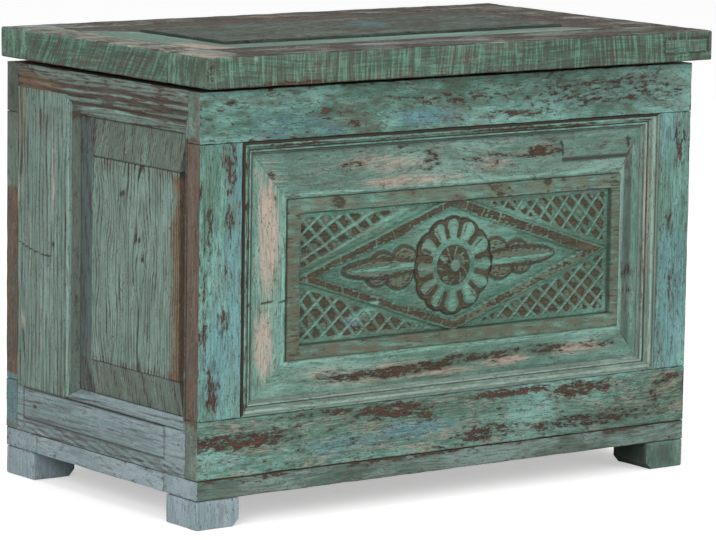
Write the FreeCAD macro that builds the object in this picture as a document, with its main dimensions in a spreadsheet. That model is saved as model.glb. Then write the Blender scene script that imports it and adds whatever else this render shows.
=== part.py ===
import FreeCAD, Part
import Sketcher
import math
import os
import re
from types import SimpleNamespace

from FreeCAD import Vector

# A damchiya: a low reclaimed-wood storage chest with a framed and carved front,
# a fielded panel in each side, a framed back, a plinth on four block feet and a hinged,
# framed lid. X runs to the right along the front, Y to the back, Z up. The origin is on
# the floor, under the middle of the whole chest with its lid and hinge barrels.

# Driving dimensions, in millimetres
SIZES = {
    # Body and plinth
    "body_width": 760.0,
    "body_depth": 427.0,
    "wall_height": 463.0,
    "plinth_height": 24.5,
    "plinth_board_width": 72.0,
    "foot_height": 35.5,
    "foot_width": 62.0,
    "foot_depth": 66.0,
    "foot_chamfer": 9.0,
    "floor_thickness": 16.0,
    "joint_gap": 0.3,
    "arris_radius": 3.0,
    # Front frame
    "front_thickness": 26.0,
    "front_top_rail_height": 62.0,
    "front_bottom_rail_height": 71.0,
    "front_left_stile_width": 62.0,
    "front_right_stile_width": 52.0,
    "front_tenon_length": 30.0,
    "front_tenon_thickness": 9.0,
    "front_tenon_shoulder": 6.0,
    # Stepped moulding inside the front frame
    "step_side_width": 22.0,
    "step_rail_width": 17.0,
    "step_depth": 12.0,
    # Sloping boards between the moulding and the carved panel
    "slope_side_width": 42.5,
    "slope_top_width": 55.0,
    "slope_bottom_width": 45.0,
    "slope_crest_depth": 1.0,
    "filling_depth": 20.0,
    # Carved front panel
    "panel_rise": 3.0,
    "border_width": 17.5,
    "ground_depth": 3.5,
    "ribbon_width": 10.0,
    "ribbon_height": 4.5,
    "rosette_radius": 60.0,
    "rosette_offset": 5.0,
    "petal_height": 5.0,
    "petal_groove_width": 3.0,
    "petal_groove_depth": 2.0,
    "bud_ring_radius": 33.0,
    "bud_radius": 27.5,
    "bud_height": 6.5,
    "button_radius": 8.0,
    "button_height": 1.0,
    "leaf_length": 112.0,
    "leaf_half_width": 28.0,
    "leaf_height": 4.0,
    "vein_width": 5.0,
    "vein_depth": 1.5,
    "lattice_pitch": 22.0,
    "lattice_bar": 2.0,
    "lattice_margin": 5.0,
    "lattice_depth": 1.5,
    # Side frames and their fielded panels
    "side_thickness": 26.0,
    "side_top_rail_height": 29.0,
    "side_bottom_rail_height": 56.0,
    "side_stile_width": 110.0,
    "side_mould_front": 18.0,
    "side_mould_rear": 20.0,
    "side_mould_top": 24.0,
    "side_mould_bottom": 14.0,
    "side_mould_depth": 10.0,
    "field_depth": 2.0,
    "field_step": 1.5,
    "bevel_rear_width": 37.0,
    "bevel_top_width": 46.0,
    "bevel_bottom_width": 43.0,
    # Back frame and its boards
    "back_thickness": 26.0,
    "back_rail_height": 62.0,
    "back_stile_width": 60.0,
    "back_panel_thickness": 14.0,
    "back_panel_inset": 5.0,
    # Lid
    "lid_thickness": 38.0,
    "lid_left_overhang": 5.0,
    "lid_right_overhang": 11.0,
    "lid_front_overhang": 25.0,
    "lid_rear_overhang": 7.5,
    "lid_front_rail_width": 88.0,
    "lid_rear_rail_width": 60.0,
    "lid_left_end_width": 54.0,
    "lid_right_end_width": 88.0,
    "lid_slope_front": 86.0,
    "lid_slope_rear": 38.0,
    "lid_slope_left": 90.0,
    "lid_slope_right": 18.0,
    "lid_slope_depth": 5.0,
    "lid_panel_depth": 0.5,
    "lid_filling_depth": 28.0,
    "lid_arris_radius": 2.5,
    "tenon_width": 68.0,
    "tenon_thickness": 16.0,
    "tenon_height": 12.0,
    "blind_tenon_length": 24.0,
    # Hinges
    "hinge_length": 72.0,
    "hinge_spread": 460.0,
    "leaf_thickness": 2.5,
    "leaf_seat": 21.0,
    "pin_radius": 2.5,
    "pin_clearance": 0.05,
    "pin_head_radius": 4.0,
    "pin_head_height": 1.5,
    "barrel_clearance": 1.0,
    "knuckle_gap": 0.3,
    "screw_length": 22.0,
    "screw_radius": 2.0,
    "screw_head_radius": 3.8,
    "screw_head_height": 1.9,
    "screw_clearance": 0.1,
    "screw_tip_length": 4.0,
    # One overrun for every cutting solid
    "overrun": 5.0,
}

# Places and sizes that follow from the driving ones
PLACES = {
    "knuckle_radius": "pin_radius + pin_clearance + leaf_thickness",
    "pin_setback": "lid_rear_overhang + barrel_clearance + knuckle_radius",
    "whole_depth": "lid_front_overhang + body_depth + pin_setback + knuckle_radius",
    "lid_width": "lid_left_overhang + body_width + lid_right_overhang",
    "lid_depth": "lid_front_overhang + body_depth + lid_rear_overhang",
    "left": "lid_left_overhang - lid_width / 2",
    "front": "lid_front_overhang - whole_depth / 2",
    "plinth_top": "foot_height + plinth_height",
    "body_top": "plinth_top + wall_height",
    "lid_bottom": "body_top + 2 * leaf_thickness",
    "lid_left": "left - lid_left_overhang",
    "lid_front": "front - lid_front_overhang",
    "inner_width": "body_width - 2 * side_thickness",
    "inner_depth": "body_depth - front_thickness - back_thickness",
    "stile_height": "wall_height - front_top_rail_height - front_bottom_rail_height",
    "back_stile_height": "wall_height - 2 * back_rail_height",
    "lid_end_length": "lid_depth - lid_front_rail_width - lid_rear_rail_width",
    "tenon_margin": "(lid_right_end_width - tenon_width) / 2",
    "left_tenon_width": "lid_left_end_width - 2 * tenon_margin",
}

# Outlines in shares: a pair is the next corner, four numbers are the middle and the end of
# an arc. Sections of the mouldings, in shares of their width and depth
STEP_SHARES = (
    (0.0, 0.0), (0.16, 0.0), (0.16, 0.14), (0.36, 0.24, 0.46, 0.5), (0.6, 0.5),
    (0.6, 0.72), (0.7, 0.62, 0.8, 0.72), (0.8, 0.86), (1.0, 1.0),
)
BEAD_OGEE_SHARES = (
    (0.0, 0.0), (0.04, 0.18), (0.18, 0.0, 0.32, 0.18), (0.34, 0.34),
    (0.52, 0.42, 0.66, 0.62), (0.8, 0.86, 1.0, 1.0),
)
# Half of a leaf's outline from its tip to the rosette, in shares of its length and half width
LEAF_SHARES = (
    (0.0, 0.0), (0.18, 0.44, 0.42, 0.52), (0.52, 0.84, 0.68, 0.6), (0.8, 1.0, 0.96, 0.68), (1.0, 0.3),
)
PETAL_COUNT = 12
PETAL_VALLEY_SHARE = 0.93
SCREW_COUNT = 3
SCREW_SIDES = 12
KNUCKLE_COUNT = 3

doc = FreeCAD.newDocument("damchiya")
NODES = []


def sheet_words(text, home=""):
    """Puts the sheet's name before each named size in an expression."""
    out = []
    for word in re.split(r"(\W+)", text):
        sheet = "Dims" if word in SIZES else "Places" if word in PLACES else home
        out.append(word if sheet == home else sheet + "." + word)
    return "".join(out)


def fill_sheets():
    """One sheet holds the driving dimensions, the other what follows from them."""
    dims = doc.addObject("Spreadsheet::Sheet", "Dims")
    for row, (name, value) in enumerate(SIZES.items(), start=1):
        dims.set("A%d" % row, name)
        dims.set("B%d" % row, str(value))
        dims.setAlias("B%d" % row, name)
    doc.recompute()
    places = doc.addObject("Spreadsheet::Sheet", "Places")
    for row, (name, text) in enumerate(PLACES.items(), start=1):
        places.set("A%d" % row, name)
        places.setAlias("B%d" % row, name)
    for row, (name, text) in enumerate(PLACES.items(), start=1):
        places.set("B%d" % row, "=" + sheet_words(text, "Places"))
    doc.recompute()
    values = {name: float(getattr(dims, name)) for name in SIZES}
    values.update({name: float(getattr(places, name)) for name in PLACES})
    return SimpleNamespace(**values)


s = fill_sheets()


# Padded pieces

def new_body(name, corner):
    """An empty body whose origin lies at the given corner, in expressions."""
    body = doc.addObject("PartDesign::Body", name)
    body.Label = name
    for axis, text in zip("xyz", corner):
        body.setExpression("Placement.Base." + axis, sheet_words(text))
    NODES.append(body)
    return body


def outline(body, role, corners):
    """Closed outline on one of the body's own planes, its corners bound to expressions."""
    sketch = body.newObject("Sketcher::SketchObject", "Outline")
    plane = next(item for item in body.Origin.OriginFeatures if item.Role == role)
    sketch.AttachmentSupport = [(plane, "")]
    sketch.MapMode = "FlatFace"
    count = len(corners)
    turn = 2 * math.pi / count
    rough = [Vector(2 - math.cos(turn * i), 2 - math.sin(turn * i), 0) for i in range(count)]
    for i in range(count):
        sketch.addGeometry(Part.LineSegment(rough[i], rough[(i + 1) % count]), False)
    for i in range(count):
        sketch.addConstraint(Sketcher.Constraint("Coincident", i, 2, (i + 1) % count, 1))
    for i, pair in enumerate(corners):
        for kind, text, axis in zip(("DistanceX", "DistanceY"), pair, (-2, -1)):
            if text == "0":
                sketch.addConstraint(Sketcher.Constraint("PointOnObject", i, 1, axis))
                continue
            start = rough[i].x if kind == "DistanceX" else rough[i].y
            index = sketch.addConstraint(Sketcher.Constraint(kind, -1, 1, i, 1, start))
            sketch.setExpression("Constraints[%d]" % index, sheet_words(text))
    return sketch


def pad(body, role, corners, length):
    """Pads an outline away from its plane along the positive axis."""
    feature = body.newObject("PartDesign::Pad", "Pad")
    feature.Profile = outline(body, role, corners)
    feature.setExpression("Length", sheet_words(length))
    feature.Reversed = role == "XZ_Plane"
    return feature


def rectangle(width, height):
    """Corners of an outline with one corner at the origin."""
    return [("0", "0"), (width, "0"), (width, height), ("0", height)]


def block(body, kind, corner, size):
    """A tenon or the mortise that takes one, placed inside its body."""
    feature = body.newObject("PartDesign::" + kind, kind)
    for prop, text in zip(("Length", "Width", "Height"), size):
        feature.setExpression(prop, sheet_words(text))
    for axis, text in zip("xyz", corner):
        feature.setExpression("Placement.Base." + axis, sheet_words(text))
    return feature


def soften(body, radius, edges):
    """Rounds the edges that lie on the named sides of the piece's own box."""
    doc.recompute()
    base = body.Tip
    box = base.Shape.BoundBox
    names = []
    for number, edge in enumerate(base.Shape.Edges, start=1):
        for sides in edges:
            spans = [(getattr(edge.BoundBox, side[0] + "Min"), getattr(edge.BoundBox, side[0] + "Max"),
                      getattr(box, side)) for side in sides]
            if all(abs(low - at) < 1e-6 and abs(high - at) < 1e-6 for low, high, at in spans):
                names.append("Edge%d" % number)
    feature = body.newObject("PartDesign::Fillet", "Softened")
    feature.Base = (base, names)
    feature.setExpression("Radius", sheet_words(radius))


def board(name, corner, size, rounded=(), radius="arris_radius"):
    """A sawn board between two corners, with its worn arrises rounded."""
    body = new_body(name, corner)
    pad(body, "XY_Plane", rectangle(size[0], size[1]), size[2])
    if rounded:
        soften(body, radius, rounded)
    return body


# Mitred and carved pieces

def add_piece(name, shape, base):
    """Keeps a shape that is worked out from the sheet's sizes, and sets it in place."""
    piece = doc.addObject("Part::Feature", name)
    piece.Label = name
    piece.Shape = shape
    piece.Placement = FreeCAD.Placement(base, FreeCAD.Rotation())
    NODES.append(piece)
    return piece


def traced(shares, at):
    """Edges along an outline given in shares; at turns a pair of shares into a point."""
    edges = []
    last = at(*shares[0])
    for step in shares[1:]:
        end = at(*step[-2:])
        if len(step) == 2:
            edges.append(Part.LineSegment(last, end).toShape())
        else:
            edges.append(Part.Arc(last, at(*step[:2]), end).toShape())
        last = end
    return edges


def mitred(side, outer, inner, shares, depth, back, place):
    """One side of a frame between two rectangles, mitred at both ends.

    outer and inner are (low u, low v, high u, high v); place turns (u, v, depth) into space.
    """
    u0, v0, u1, v1 = outer
    p0, q0, p1, q1 = inner
    corners = {
        "bottom": ((u0, v0), (u1, v0), (p1, q0), (p0, q0)),
        "top": ((u0, v1), (u1, v1), (p1, q1), (p0, q1)),
        "low": ((u0, v0), (u0, v1), (p0, q1), (p0, q0)),
        "high": ((u1, v0), (u1, v1), (p1, q1), (p1, q0)),
    }[side]
    start, end, _, start_inner = corners
    flat = side in ("bottom", "top")

    def at(across, deep):
        if flat:
            return place(start[0], start[1] + across * (start_inner[1] - start[1]), deep * depth)
        return place(start[0] + across * (start_inner[0] - start[0]), start[1], deep * depth)

    behind = back / depth
    closing = (shares[-1][-2:], (1.0, behind), (0.0, behind), shares[0])
    section = Part.Face(Part.Wire(traced(shares, at) + traced(closing, at)))
    strip = section.extrude(place(end[0], end[1], 0) - place(start[0], start[1], 0))
    plan = flat_face([place(u, v, -s.overrun) for u, v in corners])
    return strip.common(plan.extrude(place(0, 0, back + 2 * s.overrun) - place(0, 0, 0)))


def shrink(rect, gap):
    """The rectangle drawn in by the same gap on each side."""
    return (rect[0] + gap, rect[1] + gap, rect[2] - gap, rect[3] - gap)


def inset(rect, low_u, low_v, high_u, high_v):
    """The rectangle drawn in by a width of its own on each side."""
    return (rect[0] + low_u, rect[1] + low_v, rect[2] - high_u, rect[3] - high_v)


def corners_of(rect, deep, place):
    """The four corners of a rectangle at a depth."""
    u0, v0, u1, v1 = rect
    return [place(u, v, deep) for u, v in ((u0, v0), (u1, v0), (u1, v1), (u0, v1))]


def flat_face(points):
    """The flat face inside a closed run of points."""
    return Part.Face(Part.makePolygon(points + points[:1]))


def slab(rect, low, high, place):
    """A flat block over a rectangle, between two depths."""
    return flat_face(corners_of(rect, low, place)).extrude(place(0, 0, high) - place(0, 0, low))


def stacked(rings):
    """A solid with flat sides between rings of points that have the same count."""
    faces = [flat_face(rings[0]), flat_face(rings[-1])]
    for low, high in zip(rings, rings[1:]):
        for i in range(len(low)):
            j = (i + 1) % len(low)
            faces.append(flat_face([low[i], low[j], high[j], high[i]]))
    solid = Part.makeSolid(Part.makeShell(faces))
    if solid.Volume < 0:
        solid.reverse()
    return solid


# Feet and plinth

def make_feet():
    """Four square blocks, each with its inner lower edge worn to a chamfer."""
    left = [("0", "0"), ("foot_width - foot_chamfer", "0"), ("foot_width", "foot_chamfer"),
            ("foot_width", "foot_height"), ("0", "foot_height")]
    right = [("foot_chamfer", "0"), ("foot_width", "0"), ("foot_width", "foot_height"),
             ("0", "foot_height"), ("0", "foot_chamfer")]
    sides = (("left", "left", left), ("right", "left + body_width - foot_width", right))
    for end, y in (("front", "front"), ("rear", "front + body_depth - foot_depth")):
        for side, x, shape in sides:
            body = new_body("foot_%s_%s" % (end, side), (x, y, "0"))
            pad(body, "XZ_Plane", shape, "foot_depth")


def make_plinth():
    """Four flat boards under the walls, flush with them, which also carry the floor."""
    across = ("body_width", "plinth_board_width", "plinth_height")
    back_y = "front + body_depth - plinth_board_width"
    board("plinth_front", ("left", "front", "foot_height"), across)
    board("plinth_back", ("left", back_y, "foot_height"), across)
    along = ("plinth_board_width", "body_depth - 2 * plinth_board_width", "plinth_height")
    side_y = "front + plinth_board_width"
    right_x = "left + body_width - plinth_board_width"
    board("plinth_left", ("left", side_y, "foot_height"), along)
    board("plinth_right", (right_x, side_y, "foot_height"), along)


def make_floor():
    """Two boards side by side inside the walls, lying on the plinth."""
    half = "inner_depth / 2 - joint_gap"
    for name, y in (("front", "front + front_thickness + joint_gap / 2"),
                    ("back", "front + front_thickness + inner_depth / 2 + joint_gap / 2")):
        board("floor_board_" + name, ("left + side_thickness + joint_gap", y, "plinth_top"),
              ("inner_width - 2 * joint_gap", half, "floor_thickness"))


# Front

def make_front_frame():
    """Two full-width rails with two stiles tenoned between them."""
    tenon_y = "(front_thickness - front_tenon_thickness) / 2"
    stiles = (("left", "0", "front_left_stile_width"),
              ("right", "body_width - front_right_stile_width", "front_right_stile_width"))
    rails = (("top", "body_top - front_top_rail_height", "front_top_rail_height", "0",
              [("YMin", "ZMax"), ("XMin", "ZMax"), ("XMax", "ZMax")]),
             ("bottom", "plinth_top", "front_bottom_rail_height",
              "front_bottom_rail_height - front_tenon_length", []))
    for rail, z, height, mortise_z, rounded in rails:
        body = new_body("front_%s_rail" % rail, ("left", "front", z))
        pad(body, "XY_Plane", rectangle("body_width", "front_thickness"), height)
        for _, x, width in stiles:
            block(body, "SubtractiveBox",
                  (x + " + front_tenon_shoulder - joint_gap", tenon_y + " - joint_gap", mortise_z),
                  (width + " - 2 * front_tenon_shoulder + 2 * joint_gap",
                   "front_tenon_thickness + 2 * joint_gap", "front_tenon_length"))
        if rounded:
            soften(body, "arris_radius", rounded)
    for side, x, width in stiles:
        body = new_body("front_%s_stile" % side,
                        ("left + " + x, "front", "plinth_top + front_bottom_rail_height"))
        pad(body, "XY_Plane", rectangle(width, "front_thickness"), "stile_height")
        for z in ("joint_gap - front_tenon_length", "stile_height"):
            block(body, "AdditiveBox", ("front_tenon_shoulder", tenon_y, z),
                  (width + " - 2 * front_tenon_shoulder", "front_tenon_thickness",
                   "front_tenon_length - joint_gap"))


def front_place(u, v, deep):
    """Across the front and up it, with depth measured back from the front face."""
    return Vector(u, deep, v)


def make_front_mouldings():
    """The stepped moulding, then the boards that slope up to the carved panel."""
    opening = (s.front_left_stile_width, s.plinth_top + s.front_bottom_rail_height,
               s.body_width - s.front_right_stile_width, s.body_top - s.front_top_rail_height)
    step_inner = inset(opening, s.step_side_width, s.step_rail_width,
                       s.step_side_width, s.step_rail_width)
    panel = inset(step_inner, s.slope_side_width, s.slope_bottom_width,
                  s.slope_side_width, s.slope_top_width)
    slope_shares = ((0.0, s.step_depth / s.filling_depth), (1.0, s.slope_crest_depth / s.filling_depth))
    base = Vector(s.left, s.front, 0)
    for side, word in (("bottom", "bottom"), ("top", "top"), ("low", "left"), ("high", "right")):
        add_piece("front_step_" + word,
                  mitred(side, shrink(opening, s.joint_gap), shrink(step_inner, s.joint_gap / 2),
                         STEP_SHARES, s.step_depth, s.filling_depth, front_place), base)
        add_piece("front_slope_" + word,
                  mitred(side, shrink(step_inner, s.joint_gap), shrink(panel, -s.joint_gap / 2),
                         slope_shares, s.filling_depth, s.filling_depth, front_place), base)
    return panel


def diamond(cx, cz, half_u, half_v, low, high):
    """A lozenge-shaped block standing on the panel's ground."""
    tips = [(cx - half_u, cz), (cx, cz + half_v), (cx + half_u, cz), (cx, cz - half_v)]
    face = flat_face([front_place(u, v, high) for u, v in tips])
    return face.extrude(front_place(0, 0, low) - front_place(0, 0, high))


def rosette(cx, cz, ground):
    """A ring of petals with grooves between them, round a domed bud with a button."""
    edges = []
    step = 2 * math.pi / PETAL_COUNT

    def around(angle, radius, deep):
        return front_place(cx + radius * math.cos(angle), cz + radius * math.sin(angle), deep)

    valley = s.rosette_radius * PETAL_VALLEY_SHARE
    for i in range(PETAL_COUNT):
        edges.append(Part.Arc(around((i - 0.5) * step, valley, ground),
                              around(i * step, s.rosette_radius, ground),
                              around((i + 0.5) * step, valley, ground)).toShape())
    petals = Part.Face(Part.Wire(edges)).extrude(front_place(0, 0, -s.petal_height))
    grooves = []
    start = front_place(s.bud_ring_radius, -s.petal_groove_width / 2, ground - s.petal_height)
    for i in range(PETAL_COUNT):
        cutter = Part.makeBox(s.rosette_radius, s.petal_groove_depth, s.petal_groove_width, start)
        cutter.rotate(Vector(0, 0, 0), Vector(0, -1, 0), math.degrees((i + 0.5) * step))
        cutter.translate(front_place(cx, cz, 0))
        grooves.append(cutter)
    out = Vector(0, -1, 0)
    well = Part.makeCylinder(s.bud_ring_radius, s.petal_height, front_place(cx, cz, ground), out)
    dome_radius = (s.bud_radius ** 2 + s.bud_height ** 2) / (2 * s.bud_height)
    dome = Part.makeSphere(dome_radius, front_place(cx, cz, ground + dome_radius - s.bud_height))
    cap = Part.makeCylinder(s.bud_radius, s.bud_height, front_place(cx, cz, ground), out)
    button = Part.makeCylinder(s.button_radius, s.bud_height + s.button_height,
                               front_place(cx, cz, ground), out)
    return petals.cut(grooves).cut(well).fuse([dome.common(cap), button])


def leaf(tip_u, base_u, cz, ground):
    """A lobed leaf with a sunk centre vein, from its tip to the rosette."""
    def above(along, across):
        return front_place(tip_u + along * (base_u - tip_u), cz + across * s.leaf_half_width, ground)

    def below(along, across):
        return above(along, -across)

    base_line = Part.LineSegment(above(*LEAF_SHARES[-1]), below(*LEAF_SHARES[-1])).toShape()
    wire = Part.Wire(traced(LEAF_SHARES, above) + [base_line] + traced(LEAF_SHARES, below)[::-1])
    body = Part.Face(wire).extrude(front_place(0, 0, -s.leaf_height))
    inward = math.copysign(1, base_u - tip_u)
    vein_low = tip_u + inward * s.vein_width
    vein_high = base_u + inward * s.overrun
    top = ground - s.leaf_height
    vein = slab((min(vein_low, vein_high), cz - s.vein_width / 2, max(vein_low, vein_high),
                 cz + s.vein_width / 2), top - s.overrun, top + s.vein_depth, front_place)
    return body.cut(vein)


def lattice(corner, reach, ground):
    """Sunk squares, turned on edge, between the crossed bars of one corner of the field."""
    across = s.lattice_pitch / 2
    half = across - s.lattice_bar
    first = s.lattice_margin + half
    wide, high = abs(reach[0]), abs(reach[1])
    limit = 1 - s.lattice_margin * math.hypot(wide, high) / (wide * high) - half / min(wide, high)
    cutters = []
    for i in range(int(wide / across)):
        for j in range(int(high / across)):
            du, dv = first + i * across, first + j * across
            if (i + j) % 2 or du / wide + dv / high > limit:
                continue
            cutters.append(diamond(corner[0] + math.copysign(du, reach[0]),
                                   corner[1] + math.copysign(dv, reach[1]), half, half,
                                   ground + s.lattice_depth, ground - s.overrun))
    return cutters


def make_carved_panel(panel):
    """One board with a border, a diamond ribbon, a rosette, two leaves and four lattices."""
    rect = shrink(panel, s.joint_gap)
    field = shrink(rect, s.border_width)
    ground = s.ground_depth
    carved = slab(rect, -s.panel_rise, s.filling_depth, front_place)
    carved = carved.cut(slab(field, -s.panel_rise - s.overrun, ground, front_place))
    cx = (rect[0] + rect[2]) / 2 - s.rosette_offset
    cz = (rect[1] + rect[3]) / 2
    half_u = min(cx - field[0], field[2] - cx)
    half_v = (field[3] - field[1]) / 2
    slant = math.hypot(half_u, half_v)
    inner_v = half_v - s.ribbon_width * slant / half_u
    inner_u = inner_v * half_u / half_v
    ribbon = diamond(cx, cz, half_u, half_v, ground, ground - s.ribbon_height)
    ribbon = ribbon.cut(diamond(cx, cz, inner_u, inner_v, ground + s.overrun,
                                ground - s.ribbon_height - s.overrun))
    flower = rosette(cx, cz, ground)
    leaves = []
    for sign in (-1, 1):
        base_u = cx + sign * s.rosette_radius * PETAL_VALLEY_SHARE
        leaves.append(leaf(base_u + sign * s.leaf_length, base_u, cz, ground))
    carved = carved.fuse([ribbon, flower] + leaves).removeSplitter()
    pockets = []
    for corner_u in (field[0], field[2]):
        for corner_v in (field[1], field[3]):
            reach = (math.copysign(half_u, cx - corner_u), math.copysign(half_v, cz - corner_v))
            pockets += lattice((corner_u, corner_v), reach, ground)
    carved = carved.cut(pockets)
    add_piece("front_carved_panel", carved, Vector(s.left, s.front, 0))


# Sides

def make_side(side):
    """A frame with a bead and ogee worked round its inside, and a fielded panel."""
    def place(u, v, deep):
        return Vector(deep if side == "left" else s.body_width - deep, u, v)

    low_y = s.front_thickness
    high_y = s.body_depth - s.back_thickness
    outer = (low_y, s.plinth_top + s.side_bottom_rail_height,
             high_y - s.side_stile_width, s.body_top - s.side_top_rail_height)
    inner = inset(outer, s.side_mould_front, s.side_mould_bottom, s.side_mould_rear, s.side_mould_top)
    base = Vector(s.left, s.front, 0)

    def moulding(which):
        return mitred(which, outer, inner, BEAD_OGEE_SHARES, s.side_mould_depth,
                      s.side_thickness, place)

    flats = {
        "top_rail": ("top", (low_y, outer[3], high_y, s.body_top)),
        "bottom_rail": ("bottom", (low_y, s.plinth_top, high_y, outer[1])),
        "rear_stile": ("high", (outer[2], outer[1], high_y, outer[3])),
    }
    for word, (which, rect) in flats.items():
        flat = slab(rect, 0, s.side_thickness, place)
        add_piece("%s_side_%s" % (side, word), flat.fuse(moulding(which)).removeSplitter(), base)
    add_piece(side + "_side_front_stile", moulding("low"), base)

    rect = shrink(inner, s.joint_gap)
    field = inset(rect, 0, s.bevel_bottom_width, s.bevel_rear_width, s.bevel_top_width)
    foot_of_step = s.field_depth + s.field_step
    steps = ((rect, s.filling_depth), (rect, s.side_mould_depth),
             (field, foot_of_step), (field, s.field_depth))
    panel = stacked([corners_of(area, deep, place) for area, deep in steps])
    add_piece(side + "_side_panel", panel, base)


# Back

def make_back():
    """A plain frame with one wide board let into it."""
    y = "front + body_depth - back_thickness"
    rail_size = ("body_width", "back_thickness", "back_rail_height")
    board("back_top_rail", ("left", y, "body_top - back_rail_height"), rail_size,
          [("YMax", "ZMax"), ("XMin", "ZMax"), ("XMax", "ZMax")])
    board("back_bottom_rail", ("left", y, "plinth_top"), rail_size)
    stile_size = ("back_stile_width", "back_thickness", "back_stile_height")
    stile_z = "plinth_top + back_rail_height"
    board("back_left_stile", ("left", y, stile_z), stile_size)
    board("back_right_stile", ("left + body_width - back_stile_width", y, stile_z), stile_size)
    board("back_panel",
          ("left + back_stile_width + joint_gap", y + " + back_thickness - back_panel_inset"
           " - back_panel_thickness", stile_z + " + joint_gap"),
          ("body_width - 2 * back_stile_width - 2 * joint_gap", "back_panel_thickness",
           "back_stile_height - 2 * joint_gap"))


# Lid

def lid_place(u, v, deep):
    """Across the lid and back over it, with depth measured down from its top."""
    return Vector(u, v, s.lid_thickness - deep)


def make_lid_frame():
    """Two full-width rails and two end boards; one tenon shows in the front edge."""
    end_edges = [("XMin", "ZMin"), ("XMax", "ZMin"), ("XMin", "ZMax"), ("XMax", "ZMax")]
    body = new_body("lid_front_rail", ("lid_left", "lid_front", "lid_bottom"))
    pad(body, "XY_Plane", rectangle("lid_width", "lid_front_rail_width"), "lid_thickness")
    soften(body, "lid_arris_radius", end_edges + [("YMin", "ZMin"), ("YMin", "ZMax")])
    block(body, "SubtractiveBox",
          ("lid_width - lid_right_end_width + tenon_margin - joint_gap", "0 - overrun",
           "tenon_height - joint_gap"),
          ("tenon_width + 2 * joint_gap", "lid_front_rail_width + 2 * overrun",
           "tenon_thickness + 2 * joint_gap"))
    block(body, "SubtractiveBox",
          ("tenon_margin - joint_gap", "lid_front_rail_width - blind_tenon_length - joint_gap",
           "tenon_height - joint_gap"),
          ("left_tenon_width + 2 * joint_gap", "blind_tenon_length + joint_gap + overrun",
           "tenon_thickness + 2 * joint_gap"))

    rear_y = "lid_front + lid_depth - lid_rear_rail_width"
    body = new_body("lid_rear_rail", ("lid_left", rear_y, "lid_bottom"))
    pad(body, "XY_Plane", rectangle("lid_width", "lid_rear_rail_width"), "lid_thickness")
    soften(body, "lid_arris_radius", end_edges + [("YMax", "ZMax")])
    for x, width in (("tenon_margin", "left_tenon_width"),
                     ("lid_width - lid_right_end_width + tenon_margin", "tenon_width")):
        block(body, "SubtractiveBox", (x + " - joint_gap", "0 - overrun", "tenon_height - joint_gap"),
              (width + " + 2 * joint_gap", "blind_tenon_length + joint_gap + overrun",
               "tenon_thickness + 2 * joint_gap"))

    ends = (("left", "0", "lid_left_end_width", "XMin", "left_tenon_width", "blind_tenon_length"),
            ("right", "lid_width - lid_right_end_width", "lid_right_end_width", "XMax", "tenon_width",
             "lid_front_rail_width"))
    end_y = "lid_front + lid_front_rail_width"
    for side, x, width, outside, tenon, front_reach in ends:
        body = new_body("lid_%s_end" % side, ("lid_left + " + x, end_y, "lid_bottom"))
        pad(body, "XY_Plane", rectangle(width, "lid_end_length"), "lid_thickness")
        soften(body, "lid_arris_radius", [(outside, "ZMin"), (outside, "ZMax")])
        block(body, "AdditiveBox", ("tenon_margin", "0 - " + front_reach, "tenon_height"),
              (tenon, front_reach, "tenon_thickness"))
        block(body, "AdditiveBox", ("tenon_margin", "lid_end_length", "tenon_height"),
              (tenon, "blind_tenon_length", "tenon_thickness"))


def make_lid_filling():
    """Mitred boards that fall from the lid's frame to a flat panel, which stands up again inside them."""
    opening = (s.lid_left_end_width, s.lid_front_rail_width,
               s.lid_width - s.lid_right_end_width, s.lid_depth - s.lid_rear_rail_width)
    panel = inset(opening, s.lid_slope_left, s.lid_slope_front, s.lid_slope_right, s.lid_slope_rear)
    shares = ((0.0, 0.0), (1.0, 1.0))
    base = Vector(s.lid_left, s.lid_front, s.lid_bottom)
    for side, word in (("bottom", "front"), ("top", "rear"), ("low", "left"), ("high", "right")):
        add_piece("lid_slope_" + word,
                  mitred(side, shrink(opening, s.joint_gap), shrink(panel, -s.joint_gap / 2),
                         shares, s.lid_slope_depth, s.lid_filling_depth, lid_place), base)
    flat = slab(shrink(panel, s.joint_gap), s.lid_panel_depth, s.lid_filling_depth, lid_place)
    add_piece("lid_panel", flat, base)


# Hinges

def along_pin(radius, start, end):
    """A cylinder round the hinge's axis, which runs along X."""
    return Part.makeCylinder(radius, end - start, Vector(start, 0, 0), Vector(1, 0, 0))


def hinge_leaf(up):
    """A plate with its own knuckles rolled round the pin; up is the lid's leaf."""
    low = 0 if up else -s.leaf_thickness
    reach = s.pin_setback + s.leaf_seat
    clear = s.knuckle_radius + s.barrel_clearance / 2
    half = s.hinge_length / 2
    plate = Part.makeBox(s.hinge_length, reach - clear, s.leaf_thickness, Vector(-half, -reach, low))
    pitch = s.hinge_length / KNUCKLE_COUNT
    solids = []
    for i in range(1 if up else 0, KNUCKLE_COUNT, 2):
        start = i * pitch - half + (s.knuckle_gap / 2 if i else 0)
        end = (i + 1) * pitch - half - (s.knuckle_gap / 2 if i < KNUCKLE_COUNT - 1 else 0)
        solids.append(Part.makeBox(end - start, clear, s.leaf_thickness, Vector(start, -clear, low)))
        solids.append(along_pin(s.knuckle_radius, start, end))
    shape = plate.fuse(solids).removeSplitter()
    bore = along_pin(s.pin_radius + s.pin_clearance, -half - s.overrun, half + s.overrun)
    return shape.cut([bore] + [screw(x, up, s.screw_clearance) for x in screw_places()])


def screw_places():
    """Screws stand evenly along a leaf."""
    pitch = s.hinge_length / SCREW_COUNT
    return [(i + 0.5) * pitch - s.hinge_length / 2 for i in range(SCREW_COUNT)]


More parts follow.
